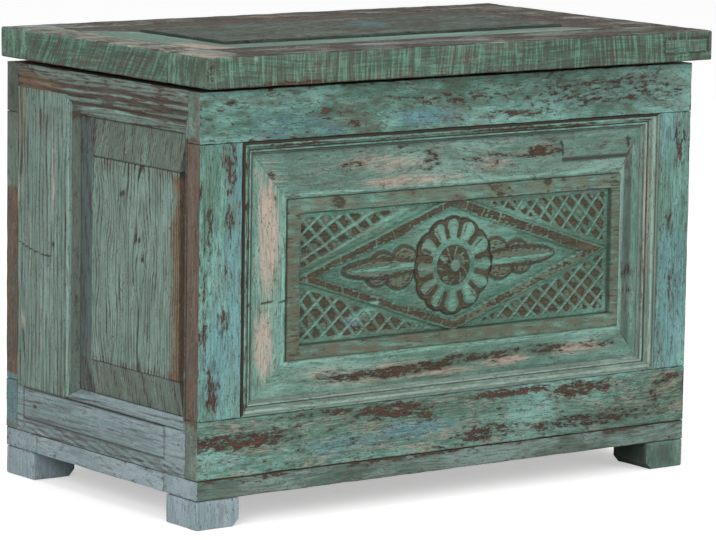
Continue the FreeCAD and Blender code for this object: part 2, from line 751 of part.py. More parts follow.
def screw(x, up, extra):
    """A countersunk screw in few flats, its head just under the leaf's face; extra widens it."""
    y = -s.pin_setback - s.leaf_seat / 2
    turn = 2 * math.pi / SCREW_SIDES
    rings = []
    for radius, deep in ((s.screw_head_radius, s.screw_clearance - extra),
                         (s.screw_radius, s.screw_head_height),
                         (s.screw_radius, s.screw_length - s.screw_tip_length),
                         (s.screw_radius / 2, s.screw_length)):
        wide = radius + extra
        rings.append([Vector(x + wide * math.cos(turn * i), y + wide * math.sin(turn * i),
                             deep if up else -deep) for i in range(SCREW_SIDES)])
    return stacked(rings)


def pin():
    """A plain pin with a low head at each end."""
    half = s.hinge_length / 2
    head = half + s.pin_head_height
    outline = [(-head, 0), (-head, s.pin_head_radius), (-half, s.pin_head_radius),
               (-half, s.pin_radius), (half, s.pin_radius), (half, s.pin_head_radius),
               (head, s.pin_head_radius), (head, 0), (-head, 0)]
    section = Part.makePolygon([Vector(along, radius, 0) for along, radius in outline])
    return Part.Face(section).revolve(Vector(0, 0, 0), Vector(1, 0, 0), 360)


def make_hinges():
    """Two butt hinges, with the chest's screws as one node and the lid's as another."""
    axis_y = s.front + s.body_depth + s.pin_setback
    axis_z = s.body_top + s.leaf_thickness
    centre = s.left + s.body_width / 2
    screws = {True: [], False: []}
    for side, x in (("left", centre - s.hinge_spread / 2), ("right", centre + s.hinge_spread / 2)):
        base = Vector(x, axis_y, axis_z)
        add_piece("hinge_%s_body_leaf" % side, hinge_leaf(False), base)
        add_piece("hinge_%s_lid_leaf" % side, hinge_leaf(True), base)
        add_piece("hinge_%s_pin" % side, pin(), base)
        for up in screws:
            screws[up] += [screw(place, up, 0).translated(base) for place in screw_places()]
    add_piece("hinge_screws_lid", Part.makeCompound(screws[True]), Vector(0, 0, 0))
    add_piece("hinge_screws_body", Part.makeCompound(screws[False]), Vector(0, 0, 0))


make_feet()
make_plinth()
make_floor()
make_front_frame()
make_carved_panel(make_front_mouldings())
make_side("left")
make_side("right")
make_back()
make_lid_frame()
make_lid_filling()
make_hinges()
doc.recompute()

# Every piece is whole and valid before anything is written
for item in doc.Objects:
    if "Invalid" in item.State or "Error" in item.State:
        raise RuntimeError("%s did not build: %s" % (item.Label, item.State))
for node in NODES:
    if node.Shape.isNull() or not node.Shape.isValid() or node.Shape.Volume <= 0:
        raise RuntimeError(node.Label + " is not a valid solid")

os.makedirs("parts", exist_ok=True)
for node in NODES:
    node.Shape.exportStep("parts/%s.step" % node.Label)
print(len(NODES), "pieces written")
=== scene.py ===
import math

import bpy
import numpy as np
from mathutils import Matrix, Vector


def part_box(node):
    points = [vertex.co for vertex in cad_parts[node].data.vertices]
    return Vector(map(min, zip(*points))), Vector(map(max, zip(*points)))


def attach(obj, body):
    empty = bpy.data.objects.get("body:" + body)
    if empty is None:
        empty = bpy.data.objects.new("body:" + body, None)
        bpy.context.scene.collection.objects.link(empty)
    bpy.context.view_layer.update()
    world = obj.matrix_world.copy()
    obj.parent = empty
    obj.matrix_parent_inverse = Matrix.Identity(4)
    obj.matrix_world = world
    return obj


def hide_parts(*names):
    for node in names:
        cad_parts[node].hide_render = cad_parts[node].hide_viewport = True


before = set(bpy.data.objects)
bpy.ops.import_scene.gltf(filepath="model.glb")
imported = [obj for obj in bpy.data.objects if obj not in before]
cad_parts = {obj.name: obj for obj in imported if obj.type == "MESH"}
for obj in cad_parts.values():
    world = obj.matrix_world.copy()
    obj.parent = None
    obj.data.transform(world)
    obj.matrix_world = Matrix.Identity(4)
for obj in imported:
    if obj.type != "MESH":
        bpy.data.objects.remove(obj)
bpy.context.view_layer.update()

# Block feet
# Four sawn blocks of old hardwood, nailed under the corners of the plinth and painted with
# the rest. Their arrises are knocked round, and the inner lower edge is worn to a chamfer.

origin = np.array(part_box("foot_front_left")[0])


def corners_of(cad_node):
    """Lowest and highest corner of a CAD node, in mm from the front left foot's outer bottom corner."""
    low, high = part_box(cad_node)
    return (np.array(low) - origin) * 1000.0, (np.array(high) - origin) * 1000.0


def ripple(points, size, seed):
    """Smooth noise from -1 to 1: ten sines along directions of their own, with waves of about size mm."""
    points = np.asarray(points, float) / size
    rng = np.random.default_rng(seed)
    waves = rng.normal(size=(points.shape[-1], 10))
    waves *= 2 * np.pi * rng.uniform(0.6, 1.7, 10) / np.linalg.norm(waves, axis=0)
    total = np.sin(points @ waves + rng.uniform(0, 2 * np.pi, 10)).sum(axis=-1)
    return np.clip(total / 4.5, -1, 1)


def rounded_outline(corners, radius, step):
    """Closed outline with round corners: points along each straight side, then an arc that turns from
    one side's normal to the next one's. Gives points, normals and closeness to a corner."""
    corners = np.asarray(corners, float)
    sides = np.roll(corners, -1, axis=0) - corners
    along = sides / np.linalg.norm(sides, axis=1)[:, None]
    out = np.stack([along[:, 1], -along[:, 0]], axis=1)
    before = np.roll(out, 1, axis=0)
    centres = corners - (before + out) * radius / (1 + (before * out).sum(axis=1))[:, None]
    turns = np.array([0.25, 0.5, 0.75])[:, None]
    points, normals, edge = [], [], []
    for i in range(len(corners)):
        j = (i + 1) % len(corners)
        length = np.linalg.norm(centres[j] - centres[i])
        run = np.linspace(0, length, max(2, int(length / step)) + 1)
        if length > 3 * step:
            run = np.unique(np.concatenate([run, [1.2, length - 1.2]]))
        points.append(centres[i] + out[i] * radius + along[i] * run[:, None])
        normals.append(np.repeat(out[i][None], len(run), axis=0))
        edge.append(np.exp(-np.minimum(run, length - run) / 2.5))
        arc = out[i] * (1 - turns) + out[j] * turns
        arc /= np.linalg.norm(arc, axis=1)[:, None]
        points.append(centres[j] + arc * radius)
        normals.append(arc)
        edge.append(np.ones(len(turns)))
    return np.concatenate(points), np.concatenate(normals), np.concatenate(edge)


def carried(corners, axes, along, start, end, radius, step, seed, sink=0.35):
    """A board: an outline carried along one axis. It draws in over a quarter circle at both ends and
    shrinks there to a small middle. Its faces sink by slow noise, its arrises by a quicker one."""
    ring, normal, edge = rounded_outline(corners, radius, step)
    middle = (np.min(corners, axis=0) + np.max(corners, axis=0)) / 2
    narrow = np.ptp(np.asarray(corners, float), axis=0).min() / 2
    count = max(2, int(narrow / step))
    turn = np.radians([8.0, 30.0, 60.0, 90.0])
    length = end - start
    body = np.linspace(radius, length - radius, max(2, int((length - 2 * radius) / step)) + 1)[1:-1]
    body = np.concatenate([[radius + 1.2], body, [length - radius - 1.2]])
    cap = np.linspace(0.06, 1, count + 1)[:-1]
    quarter = radius * (1 - np.cos(turn))
    draw = radius * (1 - np.sin(turn))
    place = np.concatenate([np.full(count, quarter[0]), quarter, np.sort(body),
                            length - quarter[::-1], np.full(count, length - quarter[0])])
    inset = np.concatenate([np.full(count, draw[0]), draw, body * 0, draw[::-1], np.full(count, draw[0])])
    share = np.concatenate([cap, np.ones(len(body) + 2 * len(turn)), cap[::-1]])
    lean = np.concatenate([-np.ones(count), -np.cos(turn), body * 0, np.cos(turn[::-1]), np.ones(count)])
    flat = middle + (ring[None] - normal[None] * inset[:, None, None] - middle) * share[:, None, None]
    points = np.zeros(flat.shape[:2] + (3,))
    normals = np.zeros_like(points)
    points[..., axes[0]] = flat[..., 0]
    points[..., axes[1]] = flat[..., 1]
    points[..., along] = start + place[:, None]
    upright = np.sqrt(1 - lean ** 2)[:, None]
    normals[..., axes[0]] = normal[None, :, 0] * upright
    normals[..., axes[1]] = normal[None, :, 1] * upright
    normals[..., along] = lean[:, None]
    from_end = np.minimum(place, length - place)
    inward = np.where(share < 1, (1 - share) * narrow, np.maximum(from_end - radius, 0))
    rim = np.exp(-inward / 2.5)
    edge = np.where(share[:, None] < 1, rim[:, None], np.maximum(edge[None], rim[:, None]))
    depth = sink * (0.6 + 0.5 * ripple(points, 90, seed))
    depth += edge * 0.4 * np.clip(0.3 + ripple(points, 50, seed + 1), 0, 1)
    return {"points": points - normals * depth[..., None], "normals": normals, "edge": edge, "closed": True}


def board(low, high, along, seed, radius=1.6, step=4.0, sink=0.35):
    """A rectangular board between two corners, carried along one axis."""
    axes = [(along + 1) % 3, (along + 2) % 3]
    (a0, b0), (a1, b1) = low[axes], high[axes]
    rectangle = [(a0, b0), (a1, b0), (a1, b1), (a0, b1)]
    return carried(rectangle, axes, along, low[along], high[along], radius, step, seed, sink)


def grain_of(points, along, seed):
    """Where a point lies in its own board's wood: along the fibres, across the growth rings, and through,
    with the rings bent by slow noise. Each board starts somewhere else."""
    shift = np.random.default_rng(seed + 500).uniform(0, 4000, 3)
    bent = points + 6.0 * np.stack([ripple(points, 260, seed + k) for k in (2, 3, 4)], axis=-1)
    order = [along, (along + 1) % 3, (along + 2) % 3]
    return bent[..., order] + shift


def spots(u, v, places):
    """Patches at listed places: each is an oval (u, v, half width, half height, strength) that fades out.
    """
    total = np.zeros(np.shape(u))
    for at_u, at_v, wide, high, strength in places:
        reach = np.hypot((u - at_u) / wide, (v - at_v) / high)
        total = np.maximum(total, strength * np.clip(1.5 - reach, 0, 1))
    return total


def finish_piece(name, shells, coat, materials, cad_node, body="chest", choose=None):
    """Joins grids of points into one mesh, closes their ends, gives each point its grain, coat and soil,
    and hides the CAD node that the piece stands for. A coat is (grain, coat, soil) for a shell."""
    points, faces, grain, coats, soil = [], [], [], [], []
    offset = 0
    for shell in shells:
        p = shell["points"]
        rows, columns = p.shape[:2]
        index = np.arange(rows * columns).reshape(rows, columns)
        if shell["closed"]:
            index = np.concatenate([index, index[:, :1]], axis=1)
        quads = np.stack([index[:-1, :-1], index[:-1, 1:], index[1:, 1:], index[1:, :-1]], axis=-1)
        quads = quads.reshape(-1, 4)
        flat = p.reshape(-1, 3)
        a, b, c, d = (flat[quads[:, k]] - flat.mean(axis=0) for k in range(4))
        volume = (a * np.cross(b, c)).sum() + (a * np.cross(c, d)).sum()
        if shell["closed"]:
            ends = [index[0, :-1][::-1], index[-1, :-1]]
        else:
            rim = np.concatenate([index[0, :-1], index[:-1, -1], index[-1, :0:-1], index[:0:-1, 0]])
            ends = [rim[::-1]]
        if volume < 0:
            quads = quads[:, ::-1]
            ends = [ring[::-1] for ring in ends]
        faces += (quads + offset).tolist() + [(ring + offset).tolist() for ring in ends]
        layers = coat(shell)
        for store, layer in zip((points, grain, coats, soil), (p, *layers)):
            store.append(np.broadcast_to(layer, p.shape).reshape(-1, 3))
        offset += rows * columns
    points = np.concatenate(points)
    mesh = bpy.data.meshes.new(name)
    mesh.from_pydata((origin + points / 1000.0).tolist(), [], faces)
    for key, layer in (("grain", grain), ("coat", coats), ("soil", soil)):
        attribute = mesh.attributes.new(key, "FLOAT_VECTOR", "POINT")
        attribute.data.foreach_set("vector", np.concatenate(layer).astype(np.float32).ravel())
    mesh.shade_smooth()
    mesh.set_sharp_from_angle(angle=math.radians(38))
    for material in materials:
        mesh.materials.append(material)
    if choose is not None:
        normals = np.zeros(len(mesh.polygons) * 3, np.float32)
        mesh.polygons.foreach_get("normal", normals)
        mesh.polygons.foreach_set("material_index", choose(normals.reshape(-1, 3)).astype(np.int32))
    piece = bpy.data.objects.new(name, mesh)
    bpy.context.scene.collection.objects.link(piece)
    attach(piece, body)
    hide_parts(cad_node)


def layers_of(shell, along, seed, bare, pink, blue, grime, rub=0.0, ochre=0.0):
    """The three layers of a shell: its grain, its coat (bare wood, pink primer, blue paint) and its soil
    (grime in joints, with painted shade in places, rubbed light paint, with painted light in places,
    yellow-brown earth), each from 0 to 1."""
    shape = shell["points"].shape[:2]
    coat = np.stack([np.broadcast_to(x, shape) for x in (bare, pink, blue)], axis=-1)
    soil = np.stack([np.broadcast_to(x, shape) for x in (grime, rub, ochre)], axis=-1)
    return grain_of(shell["points"], along, seed), coat, soil


def linear(code):
    """An sRGB hex colour as linear red, green, blue and alpha."""
    parts = np.array([int(code[i:i + 2], 16) for i in (1, 3, 5)]) / 255.0
    return tuple(np.where(parts <= 0.04045, parts / 12.92, ((parts + 0.055) / 1.055) ** 2.4)) + (1.0,)


def node(tree, kind, inputs, out=0, **settings):
    """Adds one shader node with its settings, and its sockets' values or the sockets that feed them. A hex
    colour is turned to linear. Gives the output asked for, or several for a slice."""
    item = tree.nodes.new("ShaderNode" + kind)
    for key, value in settings.items():
        setattr(item, key, value)
    for key, value in inputs.items():
        if isinstance(value, bpy.types.NodeSocket):
            tree.links.new(value, item.inputs[key])
        else:
            item.inputs[key].default_value = linear(value) if isinstance(value, str) else value
    return item.outputs[out] if item.outputs else None


def cleared(owner):
    """The emptied node tree of a material or a world."""
    owner.use_nodes = True
    owner.node_tree.nodes.clear()
    return owner.node_tree


def summed(tree, total, shares):
    """Adds a share of each pattern to a starting value."""
    for pattern, share in shares:
        total = node(tree, "Math", {0: pattern, 1: share, 2: total}, operation="MULTIPLY_ADD")
    return total


def coated(tree, colour, coats):
    """Lays coats over a colour, one after another. A coat's cover grows over a smooth step, from nothing
    to its most, as its source goes from one level to another."""
    for source, start, full, most, coat in coats:
        cover = node(tree, "MapRange", {0: source, 1: start, 2: full, 3: 0.0, 4: most},
                     interpolation_type="SMOOTHSTEP")
        colour = node(tree, "Mix", {0: cover, 6: colour, 7: coat}, 2, data_type="RGBA")
    return colour


def aged_paint(name, dark, mid, light, wood="#5A4738", ragged=1.0, fade=0.5, stain=0.45, gloss=0.6,
               under="#33281F", blotch="#66432F", thin_tint="#4A4537", ochre="#7A5B3F", rubbed="#82B2A4",
               shine=0.3, nicked=0.0):
    """Chalky oil paint on old hardwood, rubbed thin and flaked, in layers from the wood up.

    All pattern sizes are in mm of the piece's own grain: fibres 1.8 mm, which is coarser than the wood's
    so that they show, mottles 10 mm, stains 16 mm and flakes 5 mm wide, each several times longer. Where
    the coat has just broken away the wood is darkest, which draws a line round each chip.
    """
    material = bpy.data.materials.new(name)
    tree = cleared(material)
    grain, coat, soil = (node(tree, "Attribute", {}, "Vector", attribute_name=key)
                         for key in ("grain", "coat", "soil"))
    bare_coat, pink_coat, blue_coat = node(tree, "SeparateXYZ", {0: coat}, slice(3))
    dirt, rub, earth = node(tree, "SeparateXYZ", {0: soil}, slice(3))

    # Length and width in mm, detail, roughness and offset: fibres, mottles, broad shades, stains, flakes,
    # drying checks, specks and nicks
    patterns = []
    for long, wide, detail, roughness, offset in (
            (60.0, 1.8, 4.0, 0.6, 0.0), (32.0, 10.0, 5.0, 0.6, 0.0), (240.0, 60.0, 2.0, 0.5, 41.0),
            (70.0, 16.0, 5.0, 0.65, 7.0), (15.0, 5.0, 5.0, 0.72, 13.0), (34.0, 4.5, 3.0, 0.6, 29.0),
            (3.2, 2.0, 1.0, 0.5, 3.0), (7.0, 2.6, 4.0, 0.6, 19.0)):
        stretched = node(tree, "Mapping", {0: grain, "Location": (offset, offset, 0.0),
                                           "Scale": (1 / long, 1 / wide, 1 / wide)})
        patterns.append(node(tree, "TexNoise", {"Vector": stretched, "Scale": 1.0, "Detail": detail,
                                                "Roughness": roughness}))
    fibres, mottle, broad, stains, flakes, checks, specks, nicks = patterns

    # How far the coat has worn: thin and brown first, then bare
    level = 0.5 + 1.6 * ragged
    worn = summed(tree, bare_coat, ((fibres, 0.6 * ragged), (flakes, 2.6 * ragged)))
    paint = coated(tree, dark, (
        (summed(tree, 0.0, ((broad, 0.4), (mottle, 0.6))), 0.4, 0.54, 1.0, mid),
        (summed(tree, 0.0, ((broad, 0.6), (mottle, 0.4))), 0.49, 0.6, 1.0, light),
        (summed(tree, blue_coat, ((stains, 1.2), (flakes, 1.2))), 1.55, 2.05, 0.6, "#568191"),
        (stains, 0.5, 0.62, stain, "#5C5848"),
        (fibres, 0.5, 0.36, fade, "#383F35"),
        (fibres, 0.3, 0.6, rub, rubbed),
        (summed(tree, pink_coat, ((fibres, 2.0), (stains, 1.0))), 1.8, 2.75, 0.8, "#BAA194"),
        (worn, level - 0.34, level, 0.55, thin_tint)))
    timber = coated(tree, under, ((fibres, 0.34, 0.62, 1.0, wood), (mottle, 0.48, 0.62, 0.45, blotch)))
    timber = coated(tree, under, ((worn, level + 0.04, level + 0.3, 1.0, timber),))
    colour = coated(tree, paint, ((worn, level, level + 0.1, 1.0, timber),))
    # Fine dark checks along the grain, in places: the line where a stretched noise crosses its middle
    near_line = node(tree, "Math", {0: checks, 1: 0.5, 2: 0.011}, operation="COMPARE")
    checked = node(tree, "MapRange", {0: mottle, 1: 0.46, 2: 0.58, 3: 0.0, 4: near_line},
                   interpolation_type="SMOOTHSTEP")
    for mask, most, coat in ((earth, 0.8, ochre), (checked, 0.7, "#332F27")):
        cover = node(tree, "Math", {0: mask, 1: most}, operation="MULTIPLY")
        colour = node(tree, "Mix", {0: cover, 6: colour, 7: coat}, 2, data_type="RGBA")
    # The soil's grime darkens the colour, and in places stands for painted shade
    colour = coated(tree, colour, (
        (nicks, 0.6, 0.66, nicked, "#34352C"), (specks, 0.66, 0.74, 0.6, "#2B332E"),
        (specks, 0.3, 0.24, 0.2, "#A9BDB4"),
        (summed(tree, dirt, ((mottle, 0.5),)), 0.3, 1.1, 0.9, "#26231D")))

    bare = node(tree, "MapRange", {0: worn, 1: level, 2: level + 0.1}, interpolation_type="SMOOTHSTEP")
    dull = node(tree, "MapRange", {0: bare, 3: gloss, 4: 0.85}, interpolation_type="SMOOTHSTEP")
    relief = summed(tree, 0.0, ((mottle, 0.5), (fibres, 0.35), (checked, -0.4), (bare, -0.5)))
    bump = node(tree, "Bump", {"Height": relief, "Strength": 0.9, "Distance": 0.0007})
    surface = node(tree, "BsdfPrincipled", {"Base Color": colour, "Roughness": dull, "IOR": 1.5,
                                            "Specular IOR Level": shine, "Normal": bump})
    node(tree, "OutputMaterial", {"Surface": surface})
    return material


# Thin, chalky paint, made paler and bluer than the walls as painted light thrown up from the white floor
pale_floor_lit_paint = aged_paint("scuffed_blue_green_paint", "#7A8D90", "#8799A0", "#95A5AB", wood="#6F655C",
                        fade=0.2, stain=0.15, rubbed="#A2B2B8")

# The right feet were painted later, in the walls' green, and are darker than the left feet, which carry
# painted light
green_foot_paint = aged_paint("dull_green_foot_paint", "#3C5349", "#4F6B60", "#6A877C", wood="#5B4D45",
                              fade=0.3, stain=0.3, blotch="#5E5048")

foot_height = corners_of("foot_front_left")[1][2]
foot_chamfer = 9.0
chest_width, chest_depth = corners_of("foot_rear_right")[1][:2]


def base_coat(shell):
    """Paint rubbed thin along the arrises, with grime against the plinth, painted shade on the right feet's
    inner faces and painted light on the side faces.
    """
    points, edge = shell["points"], shell["edge"]
    bare = -0.1 + 0.18 * edge + 0.08 * ripple(points, 40, 5)
    grime = 0.25 * np.exp(-np.abs(points[..., 2] - foot_height) / 1.5)
    sideways = shell["normals"][..., 0]
    # The inner faces of the right feet, under the chest, are painted dark: painted shade
    under_chest_shade = (sideways < -0.3) & (points[..., 0] > chest_width / 2)
    grime = np.maximum(grime, 0.6 * under_chest_shade)
    # The side faces are painted paler: painted light
    lit_side_faces = (np.abs(sideways) > 0.7) & ~under_chest_shade
    return layers_of(shell, 2, 11, bare, 0.0, 0.15, grime, 0.25 * edge + 0.4 * lit_side_faces)


for end in ("front", "rear"):
    for side in ("left", "right"):
        low, high = corners_of("foot_%s_%s" % (end, side))
        inner = [(low[0], low[2]), (high[0] - foot_chamfer, low[2]), (high[0], low[2] + foot_chamfer),
                 (high[0], high[2]), (low[0], high[2])]
        if side == "right":
            inner = [(low[0] + high[0] - x, z) for x, z in inner][::-1]
        shell = carried(inner, (0, 2), 1, low[1], high[1], radius=2.2, step=4.0, seed=31)
        paint = green_foot_paint if side == "right" else pale_floor_lit_paint
        finish_piece("%s_%s_foot_block" % (end, side), [shell], base_coat, [paint],
                     "foot_%s_%s" % (end, side))

# Plinth
# Four flat boards laid round the bottom, flush with the walls. They carry the floor boards,
# and the paint on them is duller and greener than on the frames above.

plinth_paint = aged_paint("dull_green_plinth_paint", "#3F4B43", "#55645C", "#748480", fade=0.5,
                          blotch="#6E5646")
plinth_top = corners_of("plinth_front")[1][2]


def plinth_joint(z):
    """Dirt in the joint where the walls stand on the plinth."""
    return np.exp(-np.abs(z - plinth_top) / 1.2)


def end_face(normals):
    """Slot 1 for the faces that look to the chest's left or right, and slot 0 for the others."""
    return np.abs(normals[:, 0]) > 0.7


def plinth_coat(shell):
    """Brown grime along the upper joint, bare wood on the hidden faces."""
    points, edge, normals = shell["points"], shell["edge"], shell["normals"]
    x, y, z = np.moveaxis(points, -1, 0)
    side = np.clip((40 - x) / 60, 0, 1)
    bare = 0.02 + 0.2 * edge + 0.1 * ripple(points, (90, 90, 25), 6) + 0.6 * (normals[..., 2] > 0.6)
    patchy = np.clip(0.4 + ripple(points, 160, 18), 0, 1)
    bare = bare + 0.45 * np.clip((z - 50) / 8, 0, 1) * patchy * (x > 6)
    inside = (x > 12) & (x < chest_width - 12) & (y > 12) & (y < chest_depth - 12)
    bare = np.where(inside, 0.75, bare)
    grime = np.where(x < 6, 0.2, 0.6) * plinth_joint(z) + 0.2 * np.exp(-np.abs(z - foot_height) / 1.0)
    return layers_of(shell, 0 if np.ptp(x) > 200 else 1, 17, bare, 0.0, 0.25 * side, grime, 0.15)


for word, along in (("front", 0), ("back", 0), ("left", 1), ("right", 1)):
    low, high = corners_of("plinth_" + word)
    finish_piece("plinth_%s_board" % word, [board(low, high, along, seed=41 + along)], plinth_coat,
                 [plinth_paint, pale_floor_lit_paint], "plinth_" + word, choose=end_face)

# Floor
# Two wide boards inside the walls, lying loose on the plinth. They are never painted, and
# have gone grey-brown and dusty with use.

bare_paint = aged_paint("unpainted_old_boards", "#6A7166", "#77796C", "#85887C", wood="#7A6653", ragged=0.8)


def inside_coat(shell):
    """Bare wood nearly all over, with grime along the joints."""
    points, edge = shell["points"], shell["edge"]
    bare = 0.95 + 0.15 * ripple(points, 120, 7)
    return layers_of(shell, 0, 19, bare, 0.0, 0.0, 0.5 * edge ** 3)


for word in ("front", "back"):
    low, high = corners_of("floor_board_" + word)
    finish_piece("floor_%s_plank" % word, [board(low, high, 0, step=8.0, seed=51)], inside_coat,
                 [bare_paint], "floor_board_" + word)

# Front frame
# Two full-width rails with two stiles tenoned between them, from reclaimed shutter wood. Old
# teal and blue paint flakes off in the grain's direction and shows dark red-brown wood.

front_paint = aged_paint("flaking_teal_paint", "#3D5A4B", "#567E72", "#74A198", wood="#5B4239", fade=0.35,
                         blotch="#603C31", nicked=0.7)
# The boards' ends on the chest's sides are rubbed to grey-brown wood, with green left at the rails
end_paint = aged_paint("rubbed_board_ends", "#565E54", "#66736A", "#7A8A80", wood="#6B6056", ragged=0.5,
                       fade=0.4, under="#4F4740", blotch="#604F43", ochre="#785740")

chips = [
    (36, 510, 22, 9, 0.34), (190, 492, 34, 9, 0.36), (225, 473, 20, 5, 0.42), (375, 498, 80, 8, 0.42),
    (480, 475, 60, 5, 0.55), (590, 483, 22, 5, 0.42), (650, 482, 48, 6, 0.4), (738, 492, 14, 16, 0.4),
    (560, 498, 120, 12, 0.32), (640, 506, 80, 8, 0.42), (610, 488, 130, 10, 0.3), (700, 497, 40, 16, 0.36),
    (45, 432, 9, 28, 0.55), (36, 445, 6, 14, 0.5), (15, 368, 5, 36, 0.42), (43, 368, 7, 18, 0.5),
    (40, 318, 4, 20, 0.4), (37, 250, 9, 17, 0.5), (20, 162, 9, 28, 0.58), (9, 250, 3, 70, 0.36),
    (742, 420, 9, 34, 0.45), (727, 325, 9, 16, 0.45), (735, 230, 8, 40, 0.3), (716, 180, 5, 25, 0.32),
    (65, 103, 70, 10, 0.62), (18, 104, 18, 7, 0.6), (182, 125, 44, 4, 0.5), (292, 118, 56, 10, 0.58),
    (335, 106, 16, 6, 0.45), (470, 123, 72, 5, 0.6), (592, 117, 56, 8, 0.55), (460, 102, 14, 5, 0.5),
    (735, 118, 14, 6, 0.5), (435, 76, 42, 12, 0.42), (600, 77, 110, 8, 0.42), (712, 100, 10, 20, 0.35),
]
faded = [
    (620, 493, 170, 26, 0.75), (600, 76, 150, 12, 0.7), (435, 76, 50, 14, 0.6), (728, 170, 30, 60, 0.25),
    (110, 500, 60, 14, 0.4), (300, 505, 60, 8, 0.45),
]
blues = [
    (330, 477, 62, 12, 0.95), (130, 480, 78, 22, 0.6), (195, 468, 34, 7, 0.7), (430, 486, 60, 12, 0.4),
    (52, 320, 14, 130, 0.75), (30, 210, 24, 60, 0.6), (735, 225, 24, 90, 0.5), (725, 430, 16, 30, 0.3),
    (208, 84, 84, 14, 0.8), (60, 78, 60, 14, 0.5), (322, 92, 62, 11, 0.95), (560, 100, 120, 10, 0.4),
    (620, 88, 60, 8, 0.4),
]


def smooth(value, low, high):
    """0 below low, 1 above high, and an S-shaped rise between them."""
    t = np.clip((value - low) / (high - low), 0, 1)
    return t * t * (3 - 2 * t)


# Heights at which the stiles' paint begins and ends
stile_foot, stile_head = 127, 461


def on_end(x, normals):
    """Where a board's end is part of the chest's left or right side."""
    return (np.abs(normals[..., 0]) > 0.6) & ((x < 5) | (x > chest_width - 5))


def red_streaks(y, z, seed):
    """Red-brown streaks that run down the bare ends."""
    return smooth(ripple(np.stack([y, z], axis=-1), (3.5, 90), seed), -0.1, 0.8)


def front_coat_along(along, seed):
    """The coat of one board of the front frame whose fibres run along an axis."""
    def coat(shell):
        points, edge, normals = shell["points"], shell["edge"], shell["normals"]
        x, y, z = np.moveaxis(points, -1, 0)
        low_rail, high_rail = z < stile_foot, z > stile_head
        bare = 0.08 + 0.08 * low_rail + 0.9 * spots(x, z, chips) + 0.09 * ripple(points, (120, 90, 60), 8)
        outer = (x < 5) | (x > chest_width - 5) | (z > 518)
        bare = bare + np.where(outer, 0.2 + 0.3 * ripple(points, 30, 15), 0.05) * edge
        # The end grain on the chest's left side is brown between the rails' green ends
        on_side = on_end(x, normals)
        brown = on_side & (z < 462) & (z > 124)
        bare = np.where(on_side, 0.3, bare)
        bare = np.where(brown, 0.74 + 0.14 * ripple(points, (30, 30, 120), 12), bare)
        bare = np.where(on_side & (z < 124) & (y > 10) & (y < 20), 0.1, bare)
        bare = np.where((y > 20) & ~on_side, 1.0, bare)
        upright = (z > stile_foot) & (z < stile_head) & ~on_side
        blue = spots(x, z, blues) + 0.12 * ripple(points, 150, 9)
        blue = np.where(on_side, 0.0, blue + 0.42 * upright)
        joint = np.where(outer, 0.0, edge ** 4) * np.clip(0.5 + 0.7 * ripple(points, 30, 14), 0, 1)
        # The band along the top rail's upper edge, above 516 mm, is painted shadow from the lid's overhang
        grime = 0.5 * joint + 0.3 * (z > 516) + 0.4 * plinth_joint(z)
        for nail_x, nail_z in ((20, 484), (47, 482)):
            grime = np.maximum(grime, np.clip(2.4 - np.hypot(x - nail_x, z - nail_z), 0, 1))
        crack = np.exp(-((x - 9 - 1.5 * ripple(points, 40, 13)) / 0.9) ** 2) * (z > 160) * (z < 400)
        grime = np.maximum(grime, 0.7 * crack * (x < 60))
        grime = np.maximum(grime, 0.5 * spots(x, z, faded))
        rub = 0.2 * edge * outer + 0.3 * upright + 0.2 * low_rail * ~on_side
        # The top rail's paint is the most broken: turquoise lies in streaks beside small brown flakes
        rub = rub + 0.4 * high_rail * smooth(ripple(points, (70, 30, 12), 18), 0.1, 0.9)
        flakes = smooth(ripple(points, (22, 20, 7), 19), 0.35, 0.9) * (x < 330)
        bare = bare + 0.3 * high_rail * ~on_side * flakes
        pink = 0.45 * low_rail * ~on_side
        red = 0.48 * brown * red_streaks(y, z, 16)
        return layers_of(shell, along, seed, bare, pink, blue, grime, rub, red)
    return coat


rail_top = corners_of("front_bottom_rail")[1][2]
rail_under = corners_of("front_top_rail")[0][2]
for word, along, radius, seed, coat_seed in (
        ("top_rail", 0, 1.0, 61, 63), ("bottom_rail", 0, 1.0, 61, 63),
        ("left_stile", 2, 0.9, 67, 73), ("right_stile", 2, 0.9, 67, 74)):
    low, high = corners_of("front_" + word)
    if along == 2:
        low[2], high[2] = rail_top + 0.1, rail_under - 0.1
    finish_piece("front_%s_board" % word, [board(low, high, along, radius=radius, step=3.5, seed=seed)],
                 front_coat_along(along, coat_seed), [front_paint, end_paint], "front_" + word,
                 choose=end_face)

# Stepped moulding and sloping boards of the front
# Planed strips mitred round the opening, then four mitred boards that rise towards the
# carved panel. Pink primer shows on the slopes where the green has been rubbed away.

slope_paint = aged_paint("rubbed_green_over_primer", "#4D6A5E", "#648579", "#7F9F94", ragged=0.7,
                         fade=0.15, stain=0.3, rubbed="#86B5A6", nicked=0.35)
# The right and bottom strips are paler than the others: painted light, as they face the light
pale_lit_moulding = aged_paint("pale_lit_grey_green_moulding", "#626F66", "#7C8F84", "#93A59A", ragged=0.7,
                           fade=0.2, stain=0.25, rubbed="#93AFA3")


def profile_of(shares, width, depth):
    """Samples a moulding's section: straight runs, and arcs as the parabola through their three points."""
    last = np.array(shares[0], float)
    out = [last[None]]
    for share in shares[1:]:
        end = np.array(share[-2:], float)
        t = np.linspace(0, 1, 7 if len(share) == 4 else 4)[1:, None]
        if len(share) == 4:
            middle = np.array(share[:2], float)
            out.append((1 - t) * (1 - 2 * t) * last + 4 * t * (1 - t) * middle + t * (2 * t - 1) * end)
        else:
            out.append(last + (end - last) * t)
        last = end
    return np.concatenate(out) * (width, depth)


